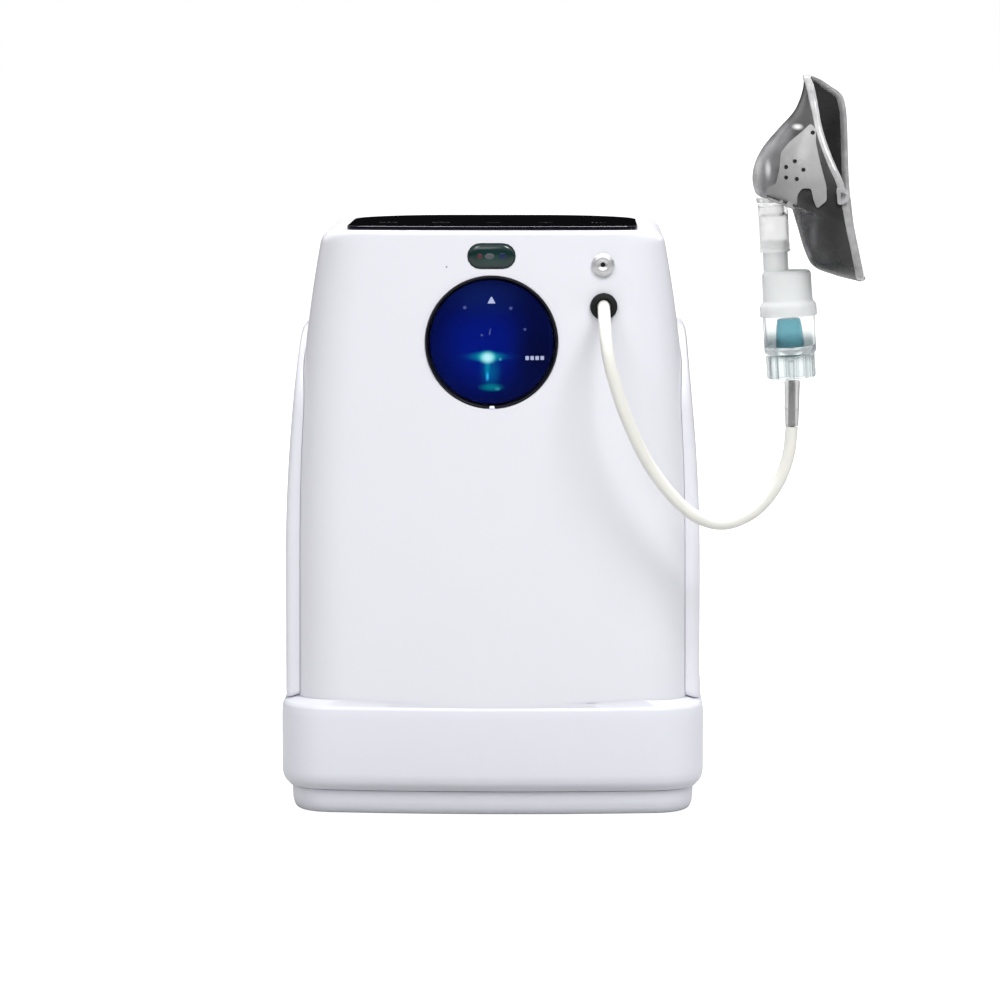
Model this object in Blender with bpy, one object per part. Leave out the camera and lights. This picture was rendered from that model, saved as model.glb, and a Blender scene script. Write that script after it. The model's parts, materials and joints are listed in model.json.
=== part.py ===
"""Home oxygen concentrator with a nebuliser kit on its hose.

The origin is the middle of the cabinet's base, on the table: +Z is up, the front faces -Y.
Sizes below are in millimetres; every mesh is made in metres.
"""

import math

import bmesh
import bpy
from mathutils import Matrix, Vector

MM = 0.001
GAP = 0.3                      # clearance between neighbouring pieces
FACING_FRONT = (math.pi / 2, 0, 0)    # local Z points to the front, local Y points up
FACING_RIGHT = (0, math.pi / 2, 0)    # local Z points to the right

# Cabinet: two moulded shells with domed side covers, a skirt band and a tray below.
CASE_HALF_WIDTH = 115.5
CASE_BOTTOM, CASE_TOP = 60.0, 343.0
CASE_FRONT, CASE_BACK = -104.0, 101.2
CASE_LEAN = 3.0                # how far the front leans back at the top
CASE_TAPER = 15.5              # how much each side draws in at the top
TAPER_START = 150.0
CASE_CORNERS = (34.0, 30.0)    # front and back corner radius
BOW_ANGLE = math.radians(6.5)  # slope of the bowed front where it meets the corner
EDGE_RADIUS = 8.0
FRONT_EDGE_SHARE = 0.3         # the front's top edge is this much sharper than the sides'
WALL = 2.5
SPLIT_Y = 0.0

COVER_HALF_WIDTH = 124.2
COVER_DEPTH, COVER_BOTTOM, COVER_TOP = 77.0, 68.6, 285.0
VENT_Z = [120.0 + 15.0 * row for row in range(9)]
VENT_SIZE = (104.0, 4.5)       # length along Y, height
SIDE_WINDOW, SIDE_WINDOW_Z = (300.0, 96.0, 140.0), 180.0    # hole through both shells behind the louvres

BAND_HALF_WIDTH, BAND_FRONT, BAND_BACK = 124.6, -105.7, 105.7
BAND_BOTTOM, BAND_TOP = 15.0, 65.0
BAND_CORNERS = (31.0, 30.0)
LEDGE_RISE = 0.35      # the band's top edge gains this much height per millimetre in towards the shell
BASE_INSET = 6.0
TRAY_BOTTOM, TRAY_FLOOR = 0.6, 4.5
FOOT_RADIUS, FOOT_HEIGHT, FOOT_PLACE = 9.0, 2.4, (82.0, 58.0)

# Front fittings: (x, z) on the front face.
WINDOW_Z, WINDOW_RADIUS, WINDOW_FACE_Y = 278.6, 38.4, -100.0
COVER_RADIUS, CUP_RADIUS, CUP_LENGTH = 35.2, 32.8, 71.0
LENS_Z, LENS_HALF = 328.5, (13.85, 7.25)
OUTLET = (64.5, 323.6)
GROMMET = (65.0, 299.3)
PINHOLE = (-26.0, 322.2)
PANEL_FRONT, PANEL_BACK, PANEL_HALF_WIDTH, PANEL_THICKNESS = -93.0, 65.0, 84.5, 2.0

# Hose and nebuliser kit.
HOSE_RADIUS = 3.6
HOSE_ROUTE = [
    (65.0, -98.0, 299.3), (65.0, -105.0, 299.3), (65.1, -117.0, 296.9), (65.5, -127.8, 289.6),
    (66.5, -135.0, 279.0), (69.2, -137.8, 265.0), (77.9, -136.0, 238.0), (92.4, -131.0, 208.2),
    (112.9, -126.0, 183.7), (132.6, -121.0, 175.2), (151.6, -118.0, 181.8), (165.0, -116.0, 197.2),
    (171.6, -115.2, 214.5), (173.5, -115.0, 231.0),
]
HOSE_POINTS = 30
KIT_BASE = Vector((173.3, -115.0, 258.8))
KIT_TILT = math.radians(-3.3)
KIT_OUTLET_X = -5.8            # the chimney stands off the jar's axis
CUP_TOP, CAP_BOTTOM, CAP_TOP, CHIMNEY_TOP = 38.0, 34.8, 62.5, 80.0
COLLAR_BOTTOM, COLLAR_TOP = 73.5, 99.0
MASK_TURN = math.radians(-8)
# Each section of the mask, top to bottom: dome x, dome z, rim x, rim z, half width.
MASK_SECTIONS = [
    (179.8, 433.0, 182.2, 432.4, 5.0),
    (178.6, 423.4, 188.0, 425.4, 12.0),
    (174.5, 411.2, 196.0, 413.0, 19.0),
    (167.6, 402.5, 198.5, 402.0, 24.0),
    (159.0, 392.2, 199.5, 391.0, 28.5),
    (152.7, 383.6, 200.0, 381.0, 32.0),
    (150.6, 375.0, 200.3, 372.0, 34.5),
    (151.4, 366.3, 200.6, 364.0, 36.0),
    (153.2, 362.4, 201.0, 357.5, 37.0),
    (161.9, 360.4, 201.8, 351.0, 37.5),
    (171.4, 359.0, 202.6, 344.0, 37.0),
    (176.2, 346.2, 204.0, 336.0, 35.0),
    (180.2, 331.9, 206.5, 327.5, 29.0),
    (186.0, 321.5, 209.0, 320.5, 19.0),
    (198.0, 318.0, 211.5, 315.5, 8.0),
]
MASK_WALL = 1.6

# Back fittings.
DOOR_X, DOOR_Z, DOOR_THICKNESS = 41.0, (183.0, 267.0), 2.5
GRIP_Z, GRIP_SIZE, GRIP_DEPTH = 305.0, (98.0, 28.0), 32.0
INLET = (-60.0, 100.0)
SWITCH = (-25.0, 100.0)
BREAKER = (0.0, 100.0)
LABEL = (-48.0, 135.0)
FAN = (48.0, 86.0, 112.0)
FAN_SIZE, FAN_DEPTH = 60.0, 22.0
SCREWS = [(-82.0, 84.0), (82.0, 84.0), (-66.0, 284.0), (66.0, 284.0)]

# Inside.
SHELF_Z, SHELF_THICKNESS = 130.0, 2.5
COMPRESSOR_Z, COMPRESSOR_RADIUS, COMPRESSOR_LENGTH = 68.0, 32.0, 90.0
MOUNT_PLACE = (34.0, 30.0)
COLUMN_X, COLUMN_Y, COLUMN_RADIUS, COLUMN_HEIGHT = 32.0, 42.0, 25.0, 148.0
TANK_X, TANK_Y, TANK_RADIUS, TANK_HEIGHT = -78.0, -35.0, 23.0, 97.0

MATERIALS = {
    "white_plastic": ((0.86, 0.87, 0.89, 1), 0.25, 0.0),
    "black_glass": ((0.01, 0.01, 0.015, 1), 0.05, 0.0),
    "black_plastic": ((0.03, 0.03, 0.035, 1), 0.4, 0.0),
    "blue_window": ((0.01, 0.04, 0.35, 1), 0.05, 0.0),
    "clear_plastic": ((0.8, 0.85, 0.88, 1), 0.1, 0.0),
    "frosted_plastic": ((0.88, 0.89, 0.9, 1), 0.35, 0.0),
    "blue_plastic": ((0.25, 0.6, 0.75, 1), 0.3, 0.0),
    "green_lens": ((0.03, 0.09, 0.08, 1), 0.08, 0.0),
    "rubber": ((0.03, 0.035, 0.035, 1), 0.7, 0.0),
    "hose_rubber": ((0.9, 0.9, 0.84, 1), 0.35, 0.0),
    "steel": ((0.7, 0.7, 0.72, 1), 0.25, 1.0),
    "aluminium": ((0.62, 0.63, 0.65, 1), 0.4, 1.0),
    "foam": ((0.08, 0.08, 0.09, 1), 0.95, 0.0),
    "filter_paper": ((0.85, 0.85, 0.82, 1), 0.9, 0.0),
    "circuit_board": ((0.03, 0.2, 0.08, 1), 0.45, 0.0),
    "grey_plastic": ((0.35, 0.36, 0.38, 1), 0.4, 0.0),
}


# ---------------------------------------------------------------- mesh helpers

def clear_scene():
    for obj in list(bpy.data.objects):
        bpy.data.objects.remove(obj, do_unlink=True)


def make_material(name):
    colour, roughness, metallic = MATERIALS[name]
    material = bpy.data.materials.new(name)
    material.use_nodes = True
    shader = material.node_tree.nodes["Principled BSDF"]
    shader.inputs["Base Color"].default_value = colour
    shader.inputs["Roughness"].default_value = roughness
    shader.inputs["Metallic"].default_value = metallic
    material.diffuse_color = colour
    return material


def add_object(name, mesh, material, place=(0, 0, 0), turn=(0, 0, 0)):
    """Puts a mesh in the scene at a place given in millimetres."""
    obj = bpy.data.objects.new(name, mesh)
    bpy.context.scene.collection.objects.link(obj)
    obj.location = Vector(place) * MM
    obj.rotation_euler = turn
    if material:
        mesh.materials.append(make_material(material))
        mesh.shade_smooth()
        mesh.set_sharp_from_angle(angle=math.radians(32))
    return obj


def mesh_from(name, points, faces):
    """A mesh from points in millimetres, with its faces turned outwards."""
    mesh = bpy.data.meshes.new(name)
    mesh.from_pydata([Vector(point) * MM for point in points], [], faces)
    shape = bmesh.new()
    shape.from_mesh(mesh)
    bmesh.ops.remove_doubles(shape, verts=shape.verts, dist=1e-7)
    bmesh.ops.recalc_face_normals(shape, faces=shape.faces)
    shape.to_mesh(mesh)
    shape.free()
    return mesh


def skin(rings, loop=False):
    """Faces between neighbouring rings of equal length; loop joins the last ring to the first."""
    count = len(rings[0])
    pairs = len(rings) if loop else len(rings) - 1
    faces = []
    for row in range(pairs):
        low, high = row * count, ((row + 1) % len(rings)) * count
        for i in range(count):
            j = (i + 1) % count
            faces.append((low + i, low + j, high + j, high + i))
    return faces


def lofted(name, rings):
    """A solid through rings of points, closed at both ends."""
    count = len(rings[0])
    faces = skin(rings)
    faces.append(tuple(range(count)))
    faces.append(tuple(range(len(rings) * count - count, len(rings) * count)))
    return mesh_from(name, [point for ring in rings for point in ring], faces)


def lofted_tube(name, rings):
    """A solid whose rings run up the outside and back down the inside."""
    return mesh_from(name, [point for ring in rings for point in ring], skin(rings, loop=True))


def turned_mesh(name, profile, segments=32, loop=False):
    """A body of revolution about local Z: (radius, height) points, from axis to axis or as a loop."""
    rings = []
    for radius, height in profile:
        angles = [2 * math.pi * step / segments for step in range(segments)]
        rings.append([(radius * math.cos(a), radius * math.sin(a), height) for a in angles])
    if loop:
        return lofted_tube(name, rings)
    return mesh_from(name, [point for ring in rings for point in ring], skin(rings))


def turned(name, profile, material, place, turn=(0, 0, 0), segments=32, loop=False):
    mesh = turned_mesh(name, profile, segments, loop)
    return add_object(name, mesh, material, place, turn)


def rod(radius, low, high):
    """Profile of a plain cylinder."""
    return [(0, low), (radius, low), (radius, high), (0, high)]


def block_mesh(name, size, centre=(0, 0, 0), bevel=0.0):
    shape = bmesh.new()
    bmesh.ops.create_cube(shape, size=1.0)
    bmesh.ops.scale(shape, vec=Vector(size) * MM, verts=shape.verts)
    if bevel:
        bmesh.ops.bevel(shape, geom=shape.edges, offset=bevel * MM, segments=2, profile=0.5, affect="EDGES")
    bmesh.ops.translate(shape, vec=Vector(centre) * MM, verts=shape.verts)
    mesh = bpy.data.meshes.new(name)
    shape.to_mesh(mesh)
    shape.free()
    return mesh


def block(name, size, centre, material, bevel=0.0):
    return add_object(name, block_mesh(name, size, bevel=bevel), material, centre)


def joined(name, meshes):
    """One mesh that holds several separate closed bodies, for use as a cutter."""
    shape = bmesh.new()
    for mesh in meshes:
        shape.from_mesh(mesh)
    result = bpy.data.meshes.new(name)
    shape.to_mesh(result)
    shape.free()
    return result


def moved(mesh, place=(0, 0, 0), turn=(0, 0, 0)):
    """The mesh with a turn and then a shift in millimetres applied to its points."""
    rotation = Matrix.Rotation(turn[0], 4, "X") @ Matrix.Rotation(turn[1], 4, "Y") @ Matrix.Rotation(turn[2], 4, "Z")
    mesh.transform(Matrix.Translation(Vector(place) * MM) @ rotation)
    return mesh


def combine(obj, meshes, operation="DIFFERENCE"):
    """Cuts the meshes from the object, or unites them with it, through one hidden helper."""
    helper = add_object(f"{obj.name}_{operation.lower()}_{len(obj.modifiers)}", joined("helper", meshes), None)
    helper.hide_render = True
    helper.display_type = "WIRE"
    helper.parent = obj.parent
    modifier = obj.modifiers.new(helper.name, "BOOLEAN")
    modifier.operation = operation
    modifier.object = helper
    return obj


def front_rod(radius, x, z, near, far, segments=32):
    """A round cutter along Y between two depths."""
    mesh = turned_mesh("front_rod", rod(radius, -far, -near), segments)
    return moved(mesh, (x, 0, z), FACING_FRONT)


def capsule(name, half_length, radius, profile, steps=8):
    """A solid with straight long sides and round ends, through (inset, height) points along local Z."""
    rings = []
    for inset, height in profile:
        ring = []
        for side in (1, -1):
            for step in range(steps + 1):
                angle = math.pi * (step / steps - 0.5)
                x = half_length - radius + (radius - inset) * math.cos(angle)
                ring.append((side * x, side * (radius - inset) * math.sin(angle), height))
        rings.append(ring)
    return lofted(name, rings)


# ---------------------------------------------------------------- shape of the cabinet

def plan_outline(half_width, front, back, corners, z, corner_steps=5, front_steps=5):
    """The cabinet seen from above: a bowed front, round corners and a flat back."""
    radius, back_radius = corners
    centre_x = half_width - radius
    flat = centre_x + radius * math.sin(BOW_ANGLE)
    bow = math.tan(BOW_ANGLE) / (2 * flat)
    centre_y = front + bow * flat ** 2 + radius * math.cos(BOW_ANGLE)
    half = [(flat * step / front_steps, front + bow * (flat * step / front_steps) ** 2)
            for step in range(front_steps)]
    for step in range(corner_steps + 1):
        angle = BOW_ANGLE - math.pi / 2 + (math.pi / 2 - BOW_ANGLE) * step / corner_steps
        half.append((centre_x + radius * math.cos(angle), centre_y + radius * math.sin(angle)))
    for step in range(corner_steps + 1):
        angle = math.pi / 2 * step / corner_steps
        half.append((half_width - back_radius + back_radius * math.cos(angle),
                     back - back_radius + back_radius * math.sin(angle)))
    half.append((0.0, back))
    left = [(-x, y) for x, y in half[-2:0:-1]]
    return [(x, y, z) for x, y in half + left]


def case_half_width(z):
    rise = max(0.0, z - TAPER_START) / 190
    return CASE_HALF_WIDTH - CASE_TAPER * rise ** 2.4


def case_front(z):
    return CASE_FRONT + CASE_LEAN * (z - CASE_BOTTOM) / (CASE_TOP - CASE_BOTTOM)


def front_y(x, z):
    """Depth of the bowed front face."""
    flat = case_half_width(z) - CASE_CORNERS[0] * (1 - math.sin(BOW_ANGLE))
    return case_front(z) + math.tan(BOW_ANGLE) / (2 * flat) * x ** 2


def case_ring(z, inset=0.0, front_inset=None):
    corners = [radius - inset for radius in CASE_CORNERS]
    front = case_front(z) + (inset if front_inset is None else front_inset)
    return plan_outline(case_half_width(z) - inset, front, CASE_BACK - inset, corners, z)


def case_side_x(y, z):
    """How far out the cabinet's side is at a depth y and height z."""
    half_width = case_half_width(z)
    front_radius, back_radius = CASE_CORNERS
    flat = half_width - front_radius * (1 - math.sin(BOW_ANGLE))
    front_centre = case_front(z) + math.tan(BOW_ANGLE) / 2 * flat + front_radius * math.cos(BOW_ANGLE)
    back_centre = CASE_BACK - back_radius
    if y < front_centre:
        return half_width - front_radius + math.sqrt(front_radius ** 2 - (front_centre - y) ** 2)
    if y > back_centre:
        return half_width - back_radius + math.sqrt(back_radius ** 2 - (y - back_centre) ** 2)
    return half_width


def case_rings(inset, top, edge_radius):
    """Rings up the cabinet wall and over the top edge, which is rounder at the sides than in front."""
    rings = [case_ring(z, inset) for z in (CASE_BOTTOM, 150, 200, 240, 275, 308, top - edge_radius)]
    front_radius = FRONT_EDGE_SHARE * edge_radius
    for degrees in (30, 60, 90):
        angle = math.radians(degrees)
        z = top - edge_radius + edge_radius * math.sin(angle)
        above = max(0.0, z - top + front_radius)
        front_inset = front_radius - math.sqrt(front_radius ** 2 - above ** 2)
        rings.append(case_ring(z, inset + edge_radius * (1 - math.cos(angle)), inset + front_inset))
    return rings


def case_mesh(name):
    """Both shells in one piece: a bell with walls and a roof, open below."""
    outer = case_rings(0.0, CASE_TOP, EDGE_RADIUS)
    inner = case_rings(WALL, CASE_TOP - WALL, EDGE_RADIUS - WALL)
    rings = outer[::-1] + inner
    return lofted(name, rings)


def side_outline(inset, steps=6):
    """Outline of a side cover in (y, z): square below, arched above."""
    depth, bottom, top = COVER_DEPTH - inset, COVER_BOTTOM + 0.35 * inset, COVER_TOP - inset
    radius = 52.0 - inset
    foot = 3.0
    points = [(-depth, bottom + foot)]
    points += [(share * (depth - foot), bottom) for share in (-1, -0.8, -0.5, 0, 0.5, 0.8, 1)]
    points += [(depth, bottom + foot), (depth, bottom + (top - radius - bottom) / 2)]
    arch = [(depth - radius + radius * math.cos(math.pi / 2 * step / steps),
             top - radius + radius * math.sin(math.pi / 2 * step / steps)) for step in range(steps + 1)]
    points += arch + [(0.0, top)] + [(-y, z) for y, z in arch[::-1]]
    points.append((-depth, bottom + (top - radius - bottom) / 2))
    return points


def cover_x(y, z):
    """The outer surface of a side cover, a soft dome."""
    rise = max(0.0, z - 140) / 140
    return COVER_HALF_WIDTH - 9.5 * rise ** 2 - 2.5 * (y / COVER_DEPTH) ** 2


# ---------------------------------------------------------------- cabinet pieces

def make_shells():
    """The front and rear shells, cut from one bell along the parting line."""
    front = add_object("front_shell", case_mesh("front_shell"), "white_plastic")
    combine(front, [block_mesh("cut", (300, 300, 400), (0, SPLIT_Y - GAP / 2 + 150, 200))])
    combine(front, [
        block_mesh("cut", SIDE_WINDOW, (0, 0, SIDE_WINDOW_Z)),
        front_rod(WINDOW_RADIUS + 0.4, 0, WINDOW_Z, -120, -80, segments=36),
        moved(capsule("cut", *LENS_HALF, [(-GAP, 80), (-GAP, 120)]), (0, 0, LENS_Z), FACING_FRONT),
        front_rod(4.9, *OUTLET, -120, -80, segments=24),
        front_rod(6.6, *GROMMET, -120, -80, segments=24),
        front_rod(0.7, *PINHOLE, -120, -80, segments=10),
    ])
    rear = add_object("rear_shell", case_mesh("rear_shell"), "white_plastic")
    combine(rear, [block_mesh("cut", (300, 300, 400), (0, SPLIT_Y + GAP / 2 - 150, 200))])
    door_z = sum(DOOR_Z) / 2
    cuts = [
        block_mesh("cut", SIDE_WINDOW, (0, 0, SIDE_WINDOW_Z)),
        block_mesh("cut", (2 * DOOR_X + 2 * GAP, 20, DOOR_Z[1] - DOOR_Z[0] + 2 * GAP), (0, CASE_BACK, door_z)),
        block_mesh("cut", (GRIP_SIZE[0] + 4.6, 20, GRIP_SIZE[1] + 4.6), (0, CASE_BACK, GRIP_Z)),
        block_mesh("cut", (27.6, 20, 20.6), (INLET[0], CASE_BACK, INLET[1])),
        block_mesh("cut", (13.2, 20, 19.2), (SWITCH[0], CASE_BACK, SWITCH[1])),
        front_rod(4.5, *BREAKER, 90, 110, segments=24),
    ]
    cuts += [front_rod(2.3, x, z, 90, 110, segments=16) for x, z in SCREWS]
    cuts += [block_mesh("cut", (50, 20, 3.5), (FAN[0], CASE_BACK, FAN[2] - 24 + 8 * row)) for row in range(7)]
    combine(rear, cuts)
    for i, (x, z) in enumerate(SCREWS, start=1):
        profile = [(0, 9.0), (1.9, 9.0), (1.9, -GAP), (4.2, -GAP), (3.8, -2.0), (1.8, -2.4), (1.6, -1.2), (0, -1.2)]
        turned(f"case_screw_{i}", profile, "steel", (x, CASE_BACK, z), FACING_FRONT, segments=12)


def make_side_cover(name, side):
    """A domed cover: a raised rim round a sunk field of louvres."""
    def at(y, z, share):
        low = case_side_x(y, z) + 3 * GAP
        x = low + (cover_x(y, z) - low) * share
        ledge = BAND_TOP + LEDGE_RISE * max(0.0, BAND_HALF_WIDTH - 1.3 - x) + 2 * GAP
        near_foot = max(0.0, 1 - (z - COVER_BOTTOM) / 12)
        return (side * x, y, z - (COVER_BOTTOM - ledge) * near_foot)

    def ring(inset, share):
        return [at(y, z, share) for y, z in side_outline(inset)]

    def field(scale, share):
        middle = (COVER_BOTTOM + COVER_TOP) / 2
        return [at(y * scale, middle + (z - middle) * scale, share) for y, z in side_outline(15.0)]

    outer = [ring(0, 0), ring(0.8, 0.6), ring(4.5, 1.0), ring(11.5, 1.0), ring(12.5, 0.84), field(0.5, 0.84)]
    inner = [ring(2.6, 0), ring(4.5, 0.6), field(0.5, 0.6)]
    cover = add_object(name, lofted(name, outer[::-1] + inner), "white_plastic")
    length, height = VENT_SIZE
    combine(cover, [block_mesh("cut", (60, length, height), (side * 120, 0, z)) for z in VENT_Z])


def band_ring(z, inset):
    corners = [radius - inset for radius in BAND_CORNERS]
    return plan_outline(BAND_HALF_WIDTH - inset, BAND_FRONT + inset, BAND_BACK - inset, corners, z)


def make_base():
    """The skirt band round the foot of the shells, the tray that closes the bottom, and its feet."""
    outer = [band_ring(BAND_BOTTOM, 4.5), band_ring(18.5, 1.2), band_ring(23, 0), band_ring(59, 0),
             band_ring(63.4, 0.6), band_ring(BAND_TOP, 1.3)]
    ledge, foot = [], []
    for (x, y, _), edge in zip(case_ring(CASE_BOTTOM, -0.4), outer[-1]):
        ledge.append((x, y, BAND_TOP + LEDGE_RISE * math.dist((x, y), edge[:2])))
        foot.append((x, y, CASE_BOTTOM - 1))
    inner = [ledge, foot, band_ring(56, 3), band_ring(26, 3), band_ring(BAND_BOTTOM, 7.5)]
    add_object("lower_band", lofted_tube("lower_band", outer + inner), "white_plastic")

    wall_top = BAND_BOTTOM - 0.6
    outside = [(TRAY_BOTTOM, 10), (1.4, 8.3), (3.5, 7.1), (7, BASE_INSET + 0.3), (wall_top, BASE_INSET)]
    inside = [(wall_top, 8.6), (7, 9.5), (TRAY_FLOOR, 12.5)]
    rings = [band_ring(z, inset) for z, inset in outside + inside]
    tray = add_object("base_tray", lofted("base_tray", rings), "white_plastic")
    places = [(x * FOOT_PLACE[0], y * FOOT_PLACE[1], 0) for x in (-1, 1) for y in (-1, 1)]
    pocket = turned_mesh("pocket", rod(FOOT_RADIUS + GAP, -5, FOOT_HEIGHT + GAP), segments=20)
    combine(tray, [moved(pocket.copy(), place) for place in places])
    profile = [(0, 0), (FOOT_RADIUS - 0.6, 0), (FOOT_RADIUS, 0.6), (FOOT_RADIUS, FOOT_HEIGHT), (0, FOOT_HEIGHT)]
    for i, place in enumerate(places, start=1):
        turned(f"foot_{i}", profile, "rubber", place, segments=20)


def make_top_panel():
    """The black glass touch panel on the roof and the board under it."""
    def ring(z, inset):
        corners = (8.0 - inset, 58.0 - inset)
        return plan_outline(PANEL_HALF_WIDTH - inset, PANEL_FRONT + inset, PANEL_BACK - inset, corners, z)

    low = CASE_TOP + GAP
    high = low + PANEL_THICKNESS
    rings = [ring(low, 0), ring(high - 0.8, 0), ring(high - 0.2, 0.3), ring(high, 0.9)]
    add_object("touch_panel", lofted("touch_panel", rings), "black_glass")
    block("panel_board", (120, 90, 1.6), (0, -15, 335), "circuit_board")


# ---------------------------------------------------------------- front fittings

def make_window():
    """Round water window: a black ring in the shell, and the cup behind it with its blue screw cover."""
    centre = (0, WINDOW_FACE_Y, WINDOW_Z)
    ring = [(COVER_RADIUS + 0.4, 2.0), (COVER_RADIUS + 1.2, 2.4), (WINDOW_RADIUS - 0.8, 2.4), (WINDOW_RADIUS, 1.8),
            (WINDOW_RADIUS, -9.0), (COVER_RADIUS + 0.4, -9.0)]
    turned("window_ring", ring, "black_plastic", centre, FACING_FRONT, segments=36, loop=True)
    cover = [(0, 2.6), (14, 2.4), (25, 1.8), (32, 1.0), (34.6, 0.2), (COVER_RADIUS, -0.8), (COVER_RADIUS, -9),
             (CUP_RADIUS + 0.4, -9), (CUP_RADIUS + 0.4, -2.2), (20, -1.2), (0, -0.8)]
    turned("window_cover", cover, "blue_window", centre, FACING_FRONT, segments=32)
    back = -CUP_LENGTH - 3
    cup = [(0, back), (CUP_RADIUS - 3, back), (CUP_RADIUS, back + 3), (CUP_RADIUS, -2.9), (CUP_RADIUS - 2, -2.9),
           (CUP_RADIUS - 2, back + 4), (CUP_RADIUS - 4, back + 2.2), (0, back + 2.2)]
    turned("humidifier_cup", cup, "clear_plastic", centre, FACING_FRONT, segments=24)
    arc = [math.radians(200 + 14 * step) for step in range(11)]
    section = [(35.0 * math.cos(a), 35.0 * math.sin(a)) for a in arc]
    section += [(33.2 * math.cos(a), 33.2 * math.sin(a)) for a in arc[::-1]]
    rings = [[(x, y, depth) for x, y in section] for depth in (-72.0, -12.0)]
    add_object("cup_cradle", lofted("cup_cradle", rings), "grey_plastic", centre, FACING_FRONT)


def make_front_fittings():
    lens = capsule("ir_lens", *LENS_HALF, [(5.6, 1.4), (3.2, 1.2), (1.4, 0.7), (0.4, -0.2), (0, -1.2), (0, -7)])
    add_object("ir_lens", lens, "green_lens", (0, front_y(0, LENS_Z), LENS_Z), FACING_FRONT)

    outlet_y = front_y(OUTLET[0] - 6, OUTLET[1] + 6)
    outlet = [(1.4, 2.4), (3.0, 3.2), (4.9, 3.0), (6.2, 2.2), (6.65, 1.2), (6.65, 0.5), (4.5, 0.5), (4.5, -14),
              (1.4, -14)]
    turned("oxygen_outlet", outlet, "steel", (OUTLET[0], outlet_y, OUTLET[1]), FACING_FRONT, 20, loop=True)

    grommet_y = front_y(GROMMET[0] - 7, GROMMET[1] + 7)
    grommet = [(4.0, 3.6), (5.0, 4.4), (6.6, 4.0), (7.8, 2.4), (8.0, 0.6), (6.2, 0.6), (6.2, -8), (4.0, -8)]
    turned("hose_grommet", grommet, "rubber", (GROMMET[0], grommet_y, GROMMET[1]), FACING_FRONT, 20, loop=True)
    barb = [(0, -28), (5, -28), (5, -20), (2.6, -19.5), (3.2, -11), (2.6, -11), (3.2, -4), (2.4, -GAP), (0, -GAP)]
    turned("hose_barb", barb, "steel", (GROMMET[0], HOSE_ROUTE[0][1], GROMMET[1]), FACING_FRONT, 14)


# ---------------------------------------------------------------- hose, nebuliser and mask

def smooth_route(points, count):
    """Evenly numbered points on a smooth curve through the route's own points."""
    route = [Vector(point) for point in points]
    route = [2 * route[0] - route[1]] + route + [2 * route[-1] - route[-2]]
    spans = len(points) - 1
    result = []
    for step in range(count):
        place = step * spans / (count - 1)
        span = min(int(place), spans - 1)
        t = place - span
        a, b, c, d = route[span:span + 4]
        result.append(0.5 * ((2 * b) + (c - a) * t + (2 * a - 5 * b + 4 * c - d) * t ** 2
                             + (3 * b - a - 3 * c + d) * t ** 3))
    return result


def make_hose():
    curve = bpy.data.curves.new("hose", "CURVE")
    curve.dimensions = "3D"
    curve.bevel_depth = HOSE_RADIUS * MM
    curve.bevel_resolution = 3
    curve.use_fill_caps = True
    spline = curve.splines.new("POLY")
    points = smooth_route(HOSE_ROUTE, HOSE_POINTS)
    spline.points.add(len(points) - 1)
    for target, point in zip(spline.points, points):
        target.co = (*(point * MM), 1.0)
    curve.materials.append(make_material("hose_rubber"))
    hose = bpy.data.objects.new("hose", curve)
    bpy.context.scene.collection.objects.link(hose)


def kit_place(x, height):
    """A point in the nebuliser's own tilted frame."""
    return KIT_BASE + Matrix.Rotation(KIT_TILT, 3, "Y") @ Vector((x, 0, height))


def make_nebuliser():
    tilt = (0, KIT_TILT, 0)
    sleeve = [(0, 0), (3.4, 0), (3.7, 1.5), (3.7, 27), (2.1, 27), (2.1, 16), (0, 16)]
    end = Vector(HOSE_ROUTE[-1])
    turned("hose_connector", sleeve, "grey_plastic", end + Vector((0, 0, 0.8)), segments=20)

    cup = [(0, -9), (1.6, -9), (1.8, 10.5), (12.0, 15.0), (12.0, 0.6), (13.5, 0.6), (13.7, 14), (14.9, 16),
           (14.9, CUP_TOP), (13.4, CUP_TOP), (13.4, 19), (3.0, 13.6), (0, 13.6)]
    turned("nebulizer_cup", cup, "clear_plastic", kit_place(0, 0), tilt, segments=24)
    baffle = [(0, 14.4), (2.6, 14.4), (6.2, 17.5), (6.0, 20), (3.4, 30), (2.4, 34.5), (0, 34.5)]
    turned("nebulizer_baffle", baffle, "blue_plastic", kit_place(0, 0), tilt, segments=16)

    cap = [(0, CAP_TOP), (12.6, CAP_TOP), (14.1, CAP_TOP - 1.5), (14.1, 43.5), (16.4, 42), (16.4, CAP_BOTTOM),
           (15.3, CAP_BOTTOM), (15.3, CUP_TOP + 0.4), (12.5, CUP_TOP + 0.4), (12.5, CAP_TOP - 1.6), (0, CAP_TOP - 1.6)]
    cap_obj = turned("nebulizer_cap", cap, "frosted_plastic", kit_place(0, 0), tilt, segments=24)
    chimney = moved(turned_mesh("chimney", rod(7.2, CAP_TOP - 0.8, CHIMNEY_TOP), 24), (KIT_OUTLET_X, 0, 0))
    bore = moved(turned_mesh("bore", rod(6.0, CAP_TOP - 6, CHIMNEY_TOP + 5), 24), (KIT_OUTLET_X, 0, 0))
    for mesh in (chimney, bore):
        moved(mesh, kit_place(0, 0), tilt)
    combine(cap_obj, [chimney], "UNION")
    combine(cap_obj, [bore])

    collar = [(7.6, COLLAR_BOTTOM), (8.6, COLLAR_BOTTOM), (8.3, COLLAR_TOP), (6.6, COLLAR_TOP),
              (6.6, COLLAR_TOP + 4.5), (5.6, COLLAR_TOP + 4.5), (5.6, COLLAR_TOP - 3), (7.6, COLLAR_TOP - 5)]
    turned("mask_collar", collar, "frosted_plastic", kit_place(KIT_OUTLET_X, 0), tilt, 20, loop=True)


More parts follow.
